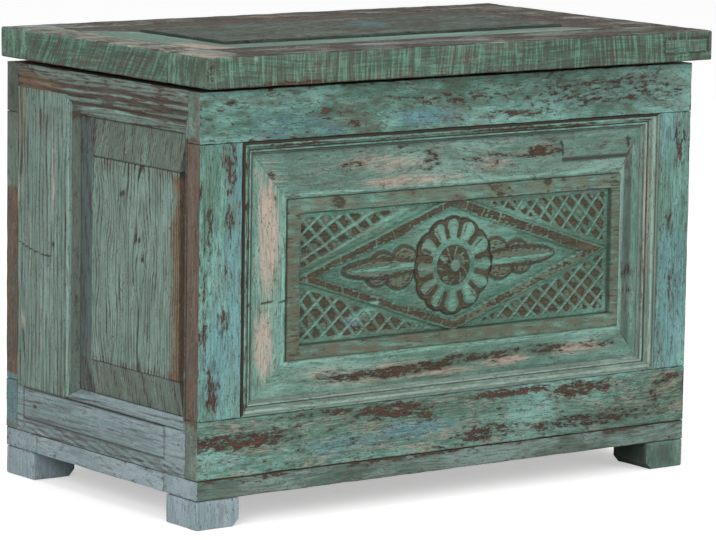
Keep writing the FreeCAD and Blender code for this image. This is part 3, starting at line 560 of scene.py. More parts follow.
def strip(which, outer, inner, section, behind, place, seed, step=4.0, wear=0.25, ends=None):
    """One side of a mitred frame: each point of the section, a share of the way from the outer
    rectangle to the inner one and a depth, runs between the mitres of the rectangle at that share."""
    outer, inner = np.array(outer, float), np.array(inner, float)
    share = np.concatenate([section[:, 0], section[-1:, 0], section[:1, 0]])
    deep = np.concatenate([section[:, 1], [behind, behind]])
    rect = outer + share[:, None] * (inner - outer)
    cut = outer + np.maximum(share, 0)[:, None] * (inner - outer)
    flat = which in ("bottom", "top")
    start, end = (cut[:, 0], cut[:, 2]) if flat else (cut[:, 1], cut[:, 3])
    if ends is not None:
        start, end = np.full(len(share), ends[0]), np.full(len(share), ends[1])
    length = (end - start).max()
    t = np.linspace(0, 1, int(length / step) + 2)
    t = np.unique(np.concatenate([t, [1.2 / length, 1 - 1.2 / length]]))[:, None]
    run = start + (end - start) * t
    across = np.broadcast_to(rect[:, {"bottom": 1, "top": 3, "low": 0, "high": 2}[which]], run.shape)
    from_mitre = np.minimum(t, 1 - t) * length
    hidden = np.broadcast_to(np.arange(len(share)) >= len(section), run.shape)
    edge = np.exp(-from_mitre / 1.6) * np.ones_like(run)
    width = np.abs(share - share[0]) * np.abs(inner - outer).max()
    rim = np.minimum(width, width.max() - width)
    edge = np.where(hidden, 0.0, np.maximum(edge, np.exp(-rim / 1.2)))
    u, v = (run, across) if flat else (across, run)
    deep = np.broadcast_to(deep, run.shape)
    drop = wear * (0.6 + 0.5 * ripple(np.stack([u, v], axis=-1), 60, seed)) + 0.3 * edge
    deep = deep + np.where(hidden, 0.0, drop)
    return {"points": place(u, v, deep), "edge": edge, "hidden": hidden, "u": u, "v": v,
            "closed": True, "share": np.broadcast_to(share, run.shape)}


def bump_at(value, centre, width):
    """A bell: 1 where value is at the centre, falling away over the width."""
    return np.exp(-((value - centre) / width) ** 2)


def front_place(u, v, deep):
    """Across the front and up it, with depth measured back from the front face."""
    return np.stack([u, deep, v], axis=-1)


def face_of(first, last, up):
    """A rectangle across and up, from one CAD node's low corner to another's high one."""
    low, high = corners_of(first)[0], corners_of(last)[1]
    return np.array([low[0], low[up], high[0], high[up]])


# Added to a rectangle, this moves each of its sides outwards by 1 mm
grown = np.array([-1.0, -1.0, 1.0, 1.0])
opening = face_of("front_step_bottom", "front_step_top", 2)
slope_outer = face_of("front_slope_bottom", "front_slope_top", 2)
panel_rect = face_of("front_carved_panel", "front_carved_panel", 2)
slope_inner = panel_rect + 0.4 * grown
# Depths behind the front's face: the moulding's inner edge, the slopes' crest and the boards' back
step_depth, crest_depth, filling_back = 12.0, 1.0, 20.0

step_section = profile_of([(0, 0), (0.16, 0), (0.16, 0.14), (0.36, 0.24, 0.46, 0.5), (0.6, 0.5),
                           (0.6, 0.72), (0.7, 0.62, 0.8, 0.72), (0.8, 0.86), (1, 1)], 1.0, step_depth)
slope_section = np.stack([np.linspace(0, 1, 14), np.linspace(step_depth, crest_depth, 14)], axis=-1)

primers = [
    (104, 345, 14, 80, 0.85), (100, 215, 13, 48, 0.75), (270, 423, 80, 10, 0.5), (445, 414, 32, 10, 0.5),
    (312, 399, 76, 7, 0.6), (520, 424, 40, 10, 0.4), (205, 172, 60, 9, 0.6), (300, 170, 60, 10, 0.7),
    (470, 163, 44, 7, 0.9), (590, 169, 56, 9, 0.7), (694, 330, 3, 130, 0.6), (660, 400, 10, 20, 0.4),
    (330, 158, 180, 6, 0.6), (104, 420, 24, 14, 0.4),
]
slope_chips = [
    (350, 424, 12, 12, 0.34), (430, 416, 40, 9, 0.3), (522, 424, 40, 8, 0.3), (230, 424, 40, 7, 0.26),
    (108, 418, 5, 6, 0.5), (112, 388, 3, 12, 0.4), (112, 297, 3, 8, 0.3), (310, 165, 120, 8, 0.53),
    (440, 172, 70, 7, 0.5), (532, 171, 44, 8, 0.54), (620, 172, 40, 6, 0.36), (200, 172, 40, 5, 0.34),
    (664, 395, 14, 30, 0.26), (664, 245, 12, 50, 0.28), (690, 250, 3, 60, 0.3),
]


def moulding_coat(along, seed, base):
    """Pink primer and chips on the slopes, dark lines at the mitres, and dark lines in the hollows that are
    partly dirt and partly painted shade.
    """
    def coat(shell):
        points, edge = shell["points"], shell["edge"]
        x, z = points[..., 0], points[..., 2]
        pink = 1.25 * spots(x, z, primers) + shell.get("primer", 0.0)
        bare = base + spots(x, z, slope_chips) + 0.12 * ripple(points, (120, 120, 14), seed)
        bare = np.where(shell["hidden"], 1.0, bare) + shell.get("brown", 0.0)
        # The right board is dark along its middle
        shade = 0.55 * smooth(x, 640, 656) * (1 - smooth(x, 666, 676)) * (shell["share"] < 0.8)
        grime = np.maximum(0.3 * edge ** 2 + shade * shell.get("shaded", 0.0), shell.get("hollow", 0.0))
        # A let-in piece near the right end of the top slope, and a crack across the left one
        patch = np.abs(np.maximum(np.abs(x - 608.5) - 53.5, np.abs(z - 421) - 11)) < 0.9
        crack = (np.abs(z - 265 - 0.04 * (x - 84)) < 0.8) & (x < 127)
        grime = np.where((patch & (z > 409)) | crack, 0.8, grime) + shell.get("soil", 0.0)
        # The left strips and board, which face the light, get more of the light colour: painted light
        rub = np.clip(shell.get("crest", 0.0) + 0.15 + 0.2 * (x < 130), 0, 1)
        return layers_of(shell, along, seed, bare, pink, spots(x, z, blues), grime, rub)
    return coat


# The hollows of the top and left strips are darker, partly dirt and partly painted shade, as these strips
# turn from the light; they also lost their paint at the outer arris
for side, word, along, shade_and_dirt in (("bottom", "bottom", 0, 0.4), ("top", "top", 0, 1.2),
                                 ("low", "left", 2, 1.5), ("high", "right", 2, 0.5)):
    shell = strip(side, opening, slope_outer, step_section, filling_back, front_place, seed=71, wear=0.2)
    share = shell["share"]
    shell["hollow"] = shade_and_dirt * sum(
        amount * bump_at(share, at, wide) for at, wide, amount in (
            (0.0, 0.09, 0.9), (0.17, 0.06, 0.7), (0.6, 0.06, 0.9), (0.84, 0.05, 0.8), (1.0, 0.06, 0.9)))
    brown = 0.2 + 0.7 * (1 - smooth(share, 0.1, 0.2)) + 0.3 * bump_at(share, 0.42, 0.14)
    shell["brown"] = (shade_and_dirt > 1) * brown
    shell["crest"] = 0.8 * bump_at(share, 0.3, 0.08) + 0.7 * bump_at(share, 0.7, 0.06)
    finish_piece("front_step_%s_strip" % word, [shell], moulding_coat(along, 73, 0.02),
                 [slope_paint if shade_and_dirt > 1 else pale_lit_moulding], "front_step_" + word)
    shell = strip(side, slope_outer, slope_inner, slope_section, filling_back, front_place, step=3.5,
                  seed=75)
    shell["crest"] = 0.8 * smooth(shell["share"], 0.84, 0.93)
    # The top board is the browner one, with primer showing thinly all over it
    on_top = side == "top"
    shell["primer"] = 0.16 * on_top
    shell["soil"] = 0.22 * on_top
    shell["shaded"] = float(side == "high")
    finish_piece("front_slope_%s_board" % word, [shell], moulding_coat(along, 77, 0.2 if on_top else 0.08),
                 [slope_paint], "front_slope_" + word)

# Carved front panel
# One hardwood board, carved by hand in low relief: a diamond ribbon, a rosette with twelve
# petals, a leaf on each side of it and crossed lattices in the corners. Wax and dirt keep
# the cuts brown where the green paint has been rubbed off.

carved_paint = aged_paint("waxed_green_carving", "#3B5B4C", "#4D7767", "#659182", wood="#575040",
                          ragged=0.27, fade=0.3, under="#38362B", blotch="#5A4C3B",
                          thin_tint="#66614F", ochre="#5C5646", rubbed="#7BAA9B")
rosette_x, rosette_z = 380.0, 290.8
# A leaf's ovals from the back to the blade: distance from the tip, height over the axis, half length
# and half width
leaf_lobes = ((95, 9.5, 20, 17.5), (87, -9.5, 22, 18), (62, 7.5, 19, 14), (54, -7.5, 18, 15),
              (58, 0.5, 58, 12.8))
rosette_radius, bud_radius, button_radius = 60.5, 24.5, 7.5
petal_count = 12
border_width, ribbon_width = 17.5, 11.0
border_top, ground, ribbon_top = -3.0, 3.5, -1.0


def from_rim(u, v, rect):
    """Distance inside a rectangle's nearest side."""
    return np.minimum(np.minimum(u - rect[0], rect[2] - u), np.minimum(v - rect[1], rect[3] - v))


def over(below, mask, above):
    """Lays one layer over another through a mask."""
    return below * (1 - mask) + above * mask


def all_over(below, mask, above):
    """Lays depth, bareness, rubbed light and dark over those below, through one mask."""
    return [over(low, mask, high) for low, high in zip(below, above)]


def to_line(x, z, angle, pitch, at_x, at_z):
    """Distance to the nearest of parallel lines, at an angle in degrees, one of which passes a point."""
    turned = math.radians(angle)
    across = ((x - at_x) * math.sin(turned) - (z - at_z) * math.cos(turned)) / pitch
    return np.abs(across - np.round(across)) * pitch


def relief(rect, depth_at, back, place, step, extra_u=(), extra_v=()):
    """A board as a height field: a grid over its rectangle sunk by a depth at each point, whose border
    is repeated at the board's back, where one flat face closes it."""
    u0, v0, u1, v1 = rect
    u = np.unique(np.concatenate([np.linspace(u0, u1, int((u1 - u0) / step) + 1), extra_u]))
    v = np.unique(np.concatenate([np.linspace(v0, v1, int((v1 - v0) / step) + 1), extra_v]))
    u, v = np.meshgrid(np.pad(u, 1, mode="edge"), np.pad(v, 1, mode="edge"))
    deep, notes = depth_at(u, v)
    rim = np.ones(u.shape, bool)
    rim[1:-1, 1:-1] = False
    deep = np.where(rim, back, deep)
    shell = {"points": place(u, v, deep), "closed": False, "hidden": rim, "u": u, "v": v}
    shell.update(notes)
    return shell


def lattice_of(x, z, out):
    """Distances to the long light lines and to the cross bars of the corner that a point lies in. The top
    left lines fan out from the ribbon; the others are parallel."""
    left, high = x < rosette_x, z > rosette_z
    spread = (out * 1.06 + 0.8) / (1 + 0.0075 * (x - 160))
    index = np.interp(spread, (-9.5, 7.5, 19, 36, 53, 70), (0, 1, 2, 3, 4, 5))
    fan = np.abs(index - np.round(index)) * np.where(index < 2, 11.5, 16.0)
    lines = np.where(high, to_line(x, z, 50, 18.8, 518, 340), to_line(x, z, 43, 17.0, 488, 230))
    lines = np.where(left, np.where(high, fan, to_line(x, z, 40, 18.5, 155, 220)), lines)
    bars = np.where(high, to_line(x, z, -45, 14.0, 566, 347), to_line(x, z, -40, 15.0, 540, 233))
    left_bars = np.where(high, to_line(x, z, -45, 15.9, 235, 235), to_line(x, z, -50, 16.0, 185, 247))
    return lines, np.where(left, left_bars, bars)


def oval_depth(along, across, centre, height, long, wide):
    """Distance inside an oval's edge, from its level function divided by the slope of that function."""
    level = np.hypot((along - centre) / long, (across - height) / wide)
    slope = np.hypot((along - centre) / long ** 2, (across - height) / wide ** 2) / np.maximum(level, 0.05)
    return (1 - level) / np.maximum(slope, 0.01)


def ribbon_of(x, z, wobble, cuts):
    """The diamond ribbon: distance outwards from its outer edge, its width, the light cuts across it, and
    where its upper half is. Its tips run under the border."""
    middle = 291.5 + 0.0075 * (x - 150)
    upper = z > middle
    half_u, half_v = 243.0, 83.0
    slant = math.hypot(half_u, half_v)
    du, dv = np.abs(x - rosette_x), np.abs(z - middle)
    out = (du / half_u + dv / half_v - 1) * half_u * half_v / slant + 0.8 * wobble
    wide = ribbon_width + 1.0 * cuts + 4.0 * bump_at(x, 288, 26) * upper
    wide = wide + smooth(x, 380, 420) * np.where(upper, 3.6, 1.5)
    along = (du * half_u - dv * half_v) / slant
    cross = (along + 6 + 4 * wobble) / 27.0
    cross = bump_at(np.abs(cross - np.round(cross)) * 27.0, 0, 0.9) * (0.6 + 0.4 * cuts)
    return out, wide, cross, upper


def ground_layers(out, inside, x, z, wobble, cuts):
    """The cut-back ground with a lattice in its four corners: thin light lines and softer bars over
    lozenges cut to a point."""
    corner = smooth(out, 5.0, 8.5) * smooth(inside, border_width + 3.5, border_width + 8)
    lines, bars = lattice_of(x, z, out)
    from_line = np.minimum(lines, bars * 0.9)
    cut = corner * smooth(from_line, 1.3, 4.0)
    tone = np.clip(0.8 + 0.5 * ripple(np.stack([x, z], axis=-1), 22, 84), 0.1, 1)
    light = corner * (1 - smooth(lines, 0.4, 1.5))
    deep = ground + 0.25 * wobble + 0.3 * cuts + 2.0 * cut - 0.5 * light
    bare = 0.16 + 0.1 * wobble + 0.08 * cuts + corner * (0.1 + 0.55 * cut * tone)
    rub = 0.12 + 0.1 * cuts + 0.85 * light * (0.7 + 0.3 * cuts)
    # The dark beside the lattice lines is painted shade in the cut cells
    return deep, bare, rub, 0.5 * corner * bump_at(from_line, 2.4, 1.0)


def with_leaves(layers, x, z, wobble, cuts):
    """Adds the leaves: two pairs of round scales under a long blade with a sunk vein, each with a rubbed
    line inside its edge."""
    left = x < rosette_x
    run = np.where(left, x - 210.0, 541.0 - x) + 0.8 * wobble
    rise = z - 294.2 + 0.6 * cuts
    nearest = np.full(x.shape, -99.0)
    for number, (centre, height, long, wide) in enumerate(leaf_lobes):
        inner = oval_depth(run, rise, centre, height, long, wide)
        blade = number == len(leaf_lobes) - 1
        swell = 1.5 + 0.35 * number + 1.4 * smooth(inner, 0.3, 5)
        brown = 0.72 - (0.34 if blade else 0.24) * smooth(inner, 3, 8) + 0.14 * cuts
        curl = bump_at(inner, 4.4, 0.8) * (0.5 if blade else 0.8)
        deep, bare, rub, dark = all_over(layers, smooth(inner, -0.5, 0.9), (
            ground - swell, brown * (1 - 0.6 * curl), 0.5 * curl, 0.0))
        layers = deep, bare, rub, np.maximum(dark, 0.6 * bump_at(inner, -0.4, 1.0))
        nearest = np.maximum(nearest, inner)
    deep, bare, rub, dark = layers
    centre = np.where(left, 0.4 + 0.008 * run, -0.045 * run)
    half = 0.7 + 0.026 * run
    vein = (1 - smooth(np.abs(rise - centre), half, half + 1.1)) * smooth(run, 4, 12) * (nearest > 0)
    rub = np.maximum(rub, 0.7 * vein)
    rub = np.maximum(rub, 0.6 * bump_at(nearest, -3.0, 1.3) * (0.7 + 0.4 * cuts))
    return deep + 1.2 * vein, bare * (1 - 0.9 * vein), rub, dark


def with_ribbon(layers, ribbon, x, wobble, cuts):
    """Adds the ribbon: a flat brown band with light edges and cuts."""
    out, wide, cross, upper = ribbon
    band = smooth(out, -wide - 0.9, -wide + 0.9) * (1 - smooth(out, -0.9, 0.9))
    flat = smooth(out, -wide + 0.2, -wide + 2.2) * (1 - smooth(out, -2.4, -0.6))
    tone = 0.66 + 0.08 * wobble + 0.1 * cuts - 0.14 * (x > 400) * ~upper
    deep, bare, rub, dark = all_over(layers, band, (
        ribbon_top + 0.5 * cross, 0.2 + flat * (tone - 0.2) * (1 - 0.7 * cross),
        0.7 * (1 - flat) + 0.6 * cross, 0.0))
    dark = np.maximum(dark, 0.45 * bump_at(out, 1.4, 1.0))
    return deep, bare, rub, np.maximum(dark, 0.35 * bump_at(out, -wide - 1.0, 1.0))


def with_rosette(layers, x, z, wobble, cuts):
    """Adds the rosette: rounded petals with brown wedges between them, a plain ring, a domed bud and a
    button."""
    radius = np.hypot(x - rosette_x, z - rosette_z)
    turn = np.arctan2(z - rosette_z, x - rosette_x)
    petal = (turn + 0.06 * np.sin(3 * turn + 1)) * petal_count / (2 * np.pi)
    number = np.round(petal) % petal_count
    petal = petal - np.round(petal)
    reach = rosette_radius + 0.8 * wobble - 3.4 * np.abs(2 * petal) ** 2.6
    disc = 1 - smooth(radius, reach - 0.9, reach + 0.7)
    ring = smooth(radius, bud_radius, bud_radius + 1.5) * (1 - smooth(radius, 31.5, 36))
    bud = 1 - smooth(radius, bud_radius - 1.2, bud_radius + 0.8)
    button = 1 - smooth(radius, button_radius - 1.0, button_radius + 0.8)

    # A petal's hill, and on some petals a second cut beside it
    length = (radius - 33) / (reach - 3.2 - 33)
    tip = np.clip((length - 0.66) / 0.36, 0, 1)
    half = (0.33 + 0.09 * length) * np.sqrt(np.clip(1 - tip ** 2, 1e-4, 1))
    tongue = 1 - (petal / half) ** 2
    hill = np.sqrt(np.clip(tongue, 0, 1)) * (radius > 31)
    second = bump_at(petal, 0.19, 0.045) * smooth(length, 0.15, 0.35) * (1 - smooth(length, 0.75, 0.95))
    second = second * (np.isin(number, (1, 2, 4, 5, 7, 8, 10)) * 0.8 + 0.2)
    # The bud's folds turn round it
    swirl = turn * 10 / (2 * np.pi) + radius * 0.035
    swirl = bump_at(swirl - np.round(swirl), 0, 0.1) * (0.65 + 0.5 * cuts)
    dome = ground - 6.5 * np.sqrt(np.clip(1 - (radius / (bud_radius + 3)) ** 2, 0, 1)) + 0.9 * swirl

    deep = over(ground - 1.6 - 3.4 * hill + 1.0 * second, ring, ground - 3.2)
    deep = over(deep, bud, np.maximum(dome, ground - 6.4))
    deep = over(deep, button, ground - 7.3 + 0.04 * radius ** 1.2)
    shade = 0.2 * smooth(rosette_x - x, 12, 45) + 0.12 * cuts
    bare = 0.16 + 0.62 * (1 - smooth(tongue, -0.25, 0.45)) + 0.45 * second + shade
    bare = over(bare, ring, 0.14 + 0.4 * shade)
    bare = over(bare, bud, 0.66 - 0.4 * swirl + 0.16 * wobble)
    bare = over(bare, button, 0.2)
    rub = 0.45 * smooth(hill, 0.6, 1.0) * (1 - bud) * (1 - second) + 0.6 * swirl * bud + 0.2 * button
    dark = 0.35 * bump_at(np.abs(petal), 0.5, 0.06) * (length > 0.1) + 0.5 * bump_at(radius, 11, 3.5) * bud

    deep, bare, rub, dark = all_over(layers, disc, (deep, bare, rub, dark))
    rub = np.maximum(rub, 0.4 * bump_at(radius - reach, 3.6, 1.4) * (1 - disc))
    # The dark line round the rosette's rim is painted shadow
    for distance, width, amount in ((radius - reach, 1.5, 0.85), (radius - bud_radius - 0.3, 1.0, 0.6),
                                    (radius - button_radius - 0.4, 0.9, 0.6)):
        dark = np.maximum(dark, amount * bump_at(distance, 0, width))
    return deep, bare, rub, dark


def with_border(layers, inside, x, z, wobble):
    """Adds the border: a plain band left at full height, olive brown where its paint is rubbed, with knife
    marks. Gives the layers, and how olive the band is."""
    across = np.stack([x, z], axis=-1)
    rim = from_rim(x, z, panel_rect)
    border = 1 - smooth(inside, border_width - 0.6 + 0.4 * wobble, border_width + 1.4 + 0.4 * wobble)
    marks = border * smooth(ripple(across, (43.2, 3.6), 83), 0.1, 0.7)
    marks = marks * ((x < panel_rect[0] + border_width) | (x > panel_rect[2] - border_width))
    patchy = ripple(across, (50, 14), 86)
    smudge = smooth(ripple(across, (26, 5), 87), 0.1, 0.8)
    high = z > 368
    pale = 0.1 + 0.3 * smooth(-patchy, 0.2, 0.8) + 0.3 * bump_at(inside, border_width - 1.2, 0.8)
    deep, bare, rub, dark = layers
    deep, bare, rub, dark = all_over((deep, bare, rub, dark * (1 - border)), border, (
        border_top + 1.6 * (1 - smooth(rim, 0.0, 2.2)), 0.26 + 0.2 * wobble + 0.25 * marks + 0.1 * high,
        (pale + 0.22 * high) * (1 - marks), (0.3 - 0.12 * high) * smudge + 0.2 * marks))
    # A dark line along the border's inner edge: painted shadow where the border stands above the ground
    dark = np.maximum(dark, 0.7 * bump_at(inside, border_width + 0.9, 1.1))
    dark = np.maximum(dark, 0.5 * bump_at(rim, 0, 0.8))
    olive = border * np.clip(0.5 + 0.45 * patchy + 0.15 * (z < 212) + 0.15 * (x < 146) - 0.3 * high, 0, 1)
    return deep + 0.2 * marks, bare, rub, dark, olive


def carving(x, z):
    """Depth of the carving behind the frame's face, with where it is bare, rubbed light, dark (dirt, and
    painted shadow along some edges) and olive.
    """
    across = np.stack([x, z], axis=-1)
    wobble = ripple(across, 45, 81)
    cuts = ripple(across, (13, 4), 82)
    inside = from_rim(x, z, panel_rect + (0.0, 0.0, 3.0, 0.0))
    ribbon = ribbon_of(x, z, wobble, cuts)
    layers = ground_layers(ribbon[0], inside, x, z, wobble, cuts)
    layers = with_leaves(layers, x, z, wobble, cuts)
    layers = with_ribbon(layers, ribbon, x, wobble, cuts)
    layers = with_rosette(layers, x, z, wobble, cuts)
    deep, bare, rub, dark, olive = with_border(layers, inside, x, z, wobble)
    return deep, {"bare": bare, "rub": rub, "dark": dark, "olive": olive}


def carved_coat(shell):
    """Layers of the carved board as the carving worked them out."""
    hidden, u, v = shell["hidden"], shell["u"], shell["v"]
    bare = np.where(hidden, 1.0, shell["bare"])
    grime = np.where(hidden, 0.0, shell["dark"])
    blue = spots(u, v, [(228, 234, 22, 11, 0.8), (180, 364, 60, 8, 0.45), (590, 366, 50, 8, 0.45),
                        (300, 320, 20, 8, 0.3)])
    pale = spots(u, v, [(250, 243, 12, 5, 0.8), (232, 236, 12, 7, 0.7), (491, 356, 4, 4, 0.8),
                        (258, 254, 8, 2, 0.9)])
    rub = np.where(hidden, 0.0, np.maximum(shell["rub"], pale))
    olive = np.where(hidden, 0.0, shell["olive"])
    return layers_of(shell, 0, 85, bare * (1 - 0.8 * np.clip(pale, 0, 1)), 0.0, blue, grime, rub, olive)


panel_shell = relief(panel_rect, carving, filling_back, front_place, 1.15)
finish_piece("front_carving", [panel_shell], carved_coat, [carved_paint], "front_carved_panel")

# Side frames and panels
# Each side is a frame with a bead and ogee worked round its inside and a raised panel of
# coarse-grained wood. The soft early wood has weathered away, so the grain stands up in
# green ridges between brown grooves.

side_paint = aged_paint("weathered_grey_green_paint", "#55665C", "#62776D", "#758C82", wood="#655C53",
                        ragged=0.3, fade=0.3, stain=0.3, under="#463D35", blotch="#624C3C",
                        thin_tint="#565A50", ochre="#7C5F48", rubbed="#8FABA1", nicked=0.35)
# The sides' bottom rails are painted paler and bluer: painted light thrown up from the white floor
floor_lit_rail_paint = aged_paint("floor_lit_grey_rail_paint", "#686C74", "#7F8690", "#9098A2", wood="#776E6C",
                            ragged=0.3, fade=0.2, stain=0.15, under="#5C5452", blotch="#72625C")
side_depth, mould_depth = 26.0, 10.0
bead_section = profile_of([(0, 0), (0.04, 0.18), (0.18, 0.0, 0.32, 0.18), (0.34, 0.34),
                           (0.52, 0.42, 0.66, 0.62), (0.8, 0.86, 1, 1)], 1.0, mould_depth)


def grooves(across, along, pitch, seed):
    """0 on ridges and 1 in the grooves of weathered grain: a sine of the distance across it, bent by
    slow noise."""
    flat = np.stack([across, along], axis=-1)
    wave = np.sin(2 * np.pi * (across / pitch + 0.3 * ripple(flat, (18, 170), seed)))
    strength = 0.6 + 0.4 * ripple(flat, (9, 120), seed + 1)
    return smooth(wave, 0.1, 0.95) * np.clip(strength, 0.1, 1)


def side_place(side):
    """Across a side and up it, with depth measured inwards from its face."""
    def place(u, v, deep):
        return np.stack([deep if side == "left" else chest_width - deep, u, v], axis=-1)
    return place


def lines_near(value, places, wide):
    """Soft lines at the given places, each as wide as said."""
    return np.max([bump_at(value, at, wide) for at in places], axis=0)


whitened = [
    (401, 368, 3, 26, 0.9), (401, 185, 3, 30, 0.8), (319, 405, 3, 60, 0.7), (388, 200, 5, 12, 0.7),
    (372, 300, 3, 40, 0.4), (344, 220, 3, 50, 0.4), (15, 479, 4, 4, 0.7),
]
rubbed_bare = [
    (385, 508, 20, 10, 0.5), (395, 430, 14, 50, 0.25), (300, 472, 40, 8, 0.3), (340, 455, 40, 20, 0.25),
]


def side_coat(along, seed, bare_level):
    """Bare in the grooves and on hidden faces, with the stains and patches of the left side."""
    def coat(shell):
        u, v = shell["u"], shell["v"]
        points = shell["points"]
        bare = bare_level - 0.2 + 0.6 * shell["groove"] + 0.1 * ripple(points, (60, 60, 90), seed)
        bare = bare + spots(u, v, rubbed_bare) - spots(u, v, [(200, 478, 90, 5, 0.3)])
        front_edge = smooth(46 - u, 0, 10) * smooth(v, 124, 130) * (1 - smooth(v, 466, 472))
        bare = np.where(shell["hidden"], 1.0, np.maximum(bare, 0.62 * front_edge))
        grime = 0.3 * shell["edge"] ** 2 + 0.5 * shell["groove"]
        for hole_u, hole_v in ((359, 95), (318, 305)):
            grime = np.maximum(grime, np.clip(3.2 - np.hypot(u - hole_u, v - hole_v), 0, 1))
        crack = bump_at(v, 289 + 0.0022 * (u - 328) ** 2, 1.1) * (u > 326) * (u < 400)
        grime = np.maximum(grime, 0.9 * crack)
        # The bottom rail has a scribed frame, with a hatched brown band under it
        frame_line = np.maximum(np.abs(u - 227.5) - 156.5, np.abs(v - 96.5) - 19.5)
        grime = np.maximum(grime, 0.8 * bump_at(frame_line, 0, 1.7) * (v < 118))
        hatch = np.sin(2 * np.pi * (u + 0.5 * v) / 4.5 + ripple(points, 30, 100))
        hatch = (v < 75) * smooth(hatch, -0.2, 0.8)
        bare = np.where(shell["hidden"], bare, bare + 0.25 * hatch + 0.12 * (v < 75))
        grime = np.maximum(grime, 0.5 * lines_near(v, (118.5, 131.0), 0.9) * (u > 46))
        # Bluer towards the bottom: painted light from the floor
        blue = 0.25 * smooth(130 - v, 0, 60) + spots(u, v, [(330, 285, 30, 16, 0.4)])
        rub = 0.35 * (1 - shell["groove"]) + shell.get("crest", 0.0) + 0.6 * spots(u, v, whitened)
        rub = np.clip(rub, 0, 1)
        ochre = spots(u, v, [(352, 502, 46, 8, 0.62), (392, 462, 12, 34, 0.4)])
        return layers_of(shell, along, seed, bare, 1.3 * spots(u, v, whitened), blue, grime, rub, ochre)
    return coat


def sunk(shell, place, cut, depth):
    """Sinks the face of a shell by a depth where a cut is 1."""
    inward = place(0.0, 0.0, depth) - place(0.0, 0.0, 0.0)
    shell["points"] = shell["points"] + inward * cut[..., None]


def weathered(shell, place, across, along, pitch, amount, seed):
    """Sinks the grooves of the grain into the face of a strip."""
    shell["groove"] = np.where(shell["hidden"], 0.0, grooves(across, along, pitch, seed))
    sunk(shell, place, shell["groove"], amount)


top_low, top_high = corners_of("left_side_top_rail")
bottom_low, bottom_high = corners_of("left_side_bottom_rail")
mould_front, mould_rear, mould_top, mould_bottom = 18.0, 20.0, 24.0, 14.0
stile_width, rail_height, foot_rail_height = 110.0, 29.0, 56.0
side_outer = np.array([top_low[1], bottom_low[2] + foot_rail_height,
                       top_high[1] - stile_width, top_high[2] - rail_height])
side_inner = side_outer + (mould_front, mould_bottom, -mould_rear, -mould_top)


def with_flat(section, flat_share, step_share):
    """Adds a flat face outside a moulding's section, as negative shares of its width."""
    share = np.linspace(-flat_share, 0, max(3, int(flat_share / step_share)))[:-1]
    flat = np.stack([share, np.zeros_like(share)], axis=-1)
    return np.concatenate([flat, section])


def side_strip(which, section, place, seed, step=4.0, ends=None):
    """One strip of a side's frame."""
    return strip(which, side_outer, side_inner, section, side_depth, place, step=step, seed=seed, ends=ends)


only_flat = np.zeros((1, 2))
for side in ("left", "right"):
    place = side_place(side)
    top_flat = side_strip("top", with_flat(only_flat, rail_height / mould_top, 0.06), place, 91,
                          ends=(top_low[1], top_high[1]))
    top_mould = side_strip("top", bead_section, place, 92)
    low_flat = side_strip("bottom", with_flat(only_flat, foot_rail_height / mould_bottom, 0.12), place, 93,
                          ends=(bottom_low[1], bottom_high[1]))
    low_mould = side_strip("bottom", bead_section, place, 94)
    rear = side_strip("high", with_flat(bead_section, stile_width / mould_rear, 0.075), place, 95, step=2.0)
    front = side_strip("low", bead_section, place, 96)
    for shell, pitch, amount in ((top_flat, 4.6, 0.4), (top_mould, 4.6, 0.4), (low_flat, 7.0, 0.4),
                                 (low_mould, 9.0, 0.3)):
        weathered(shell, place, shell["v"] + 0.035 * shell["u"], shell["u"], pitch, amount, 97)
    for shell in (low_flat, low_mould):
        shell["groove"] = 0.7 * shell["groove"]
    for shell in (top_flat, top_mould):
        level = shell["v"] + 1.6 * ripple(shell["u"][..., None], 240, 106)
        cut = np.where(shell["hidden"], 0.0, lines_near(level, (506.0, 497.0, 485.5), 2.0))
        sunk(shell, place, cut, 1.2)
        shell["groove"] = np.maximum(0.6 * shell["groove"], cut)
        shell["crest"] = 0.5 * lines_near(level, (518.0, 502.0, 493.0, 481.0), 1.8)
    weathered(rear, place, rear["u"], rear["v"], 8.5, 0.9, 98)
    weathered(front, place, front["u"], front["v"], 7.0, 0.3, 99)
    rear["crest"] = 0.8 * bump_at(rear["share"], 0.18, 0.14)
    rear["groove"] = np.where(rear["share"] > 0.0, 0.0, rear["groove"])
    rear["groove"] = np.maximum(rear["groove"], 0.6 * smooth(rear["share"], 0.34, 0.45))
    for name, cad_node, shells, coat, paint in (
            ("top_reeds", "top_rail", [top_flat, top_mould], side_coat(1, 101, 0.62), side_paint),
            ("bottom_reeds", "bottom_rail", [low_flat, low_mould], side_coat(1, 103, 0.26), floor_lit_rail_paint),
            ("rear_reeds", "rear_stile", [rear], side_coat(2, 105, 0.24), side_paint),
            ("front_bead", "front_stile", [front], side_coat(2, 107, 0.3), side_paint)):
        finish_piece("%s_side_%s" % (side, name), shells, coat, [paint], "%s_side_%s" % (side, cad_node))

panel_back = 20.0
bevel_rear, bevel_top, bevel_bottom = 37.0, 46.0, 43.0
field_depth, field_step = 2.0, 1.5
side_rect = side_inner - 0.3 * grown
field_rect = side_rect + (0.0, bevel_bottom, -bevel_rear, -bevel_top)
# Knots of the field, across and up: the first two are one double knot
knots_at = ((171, 384), (166, 386), (130, 333), (124, 310))


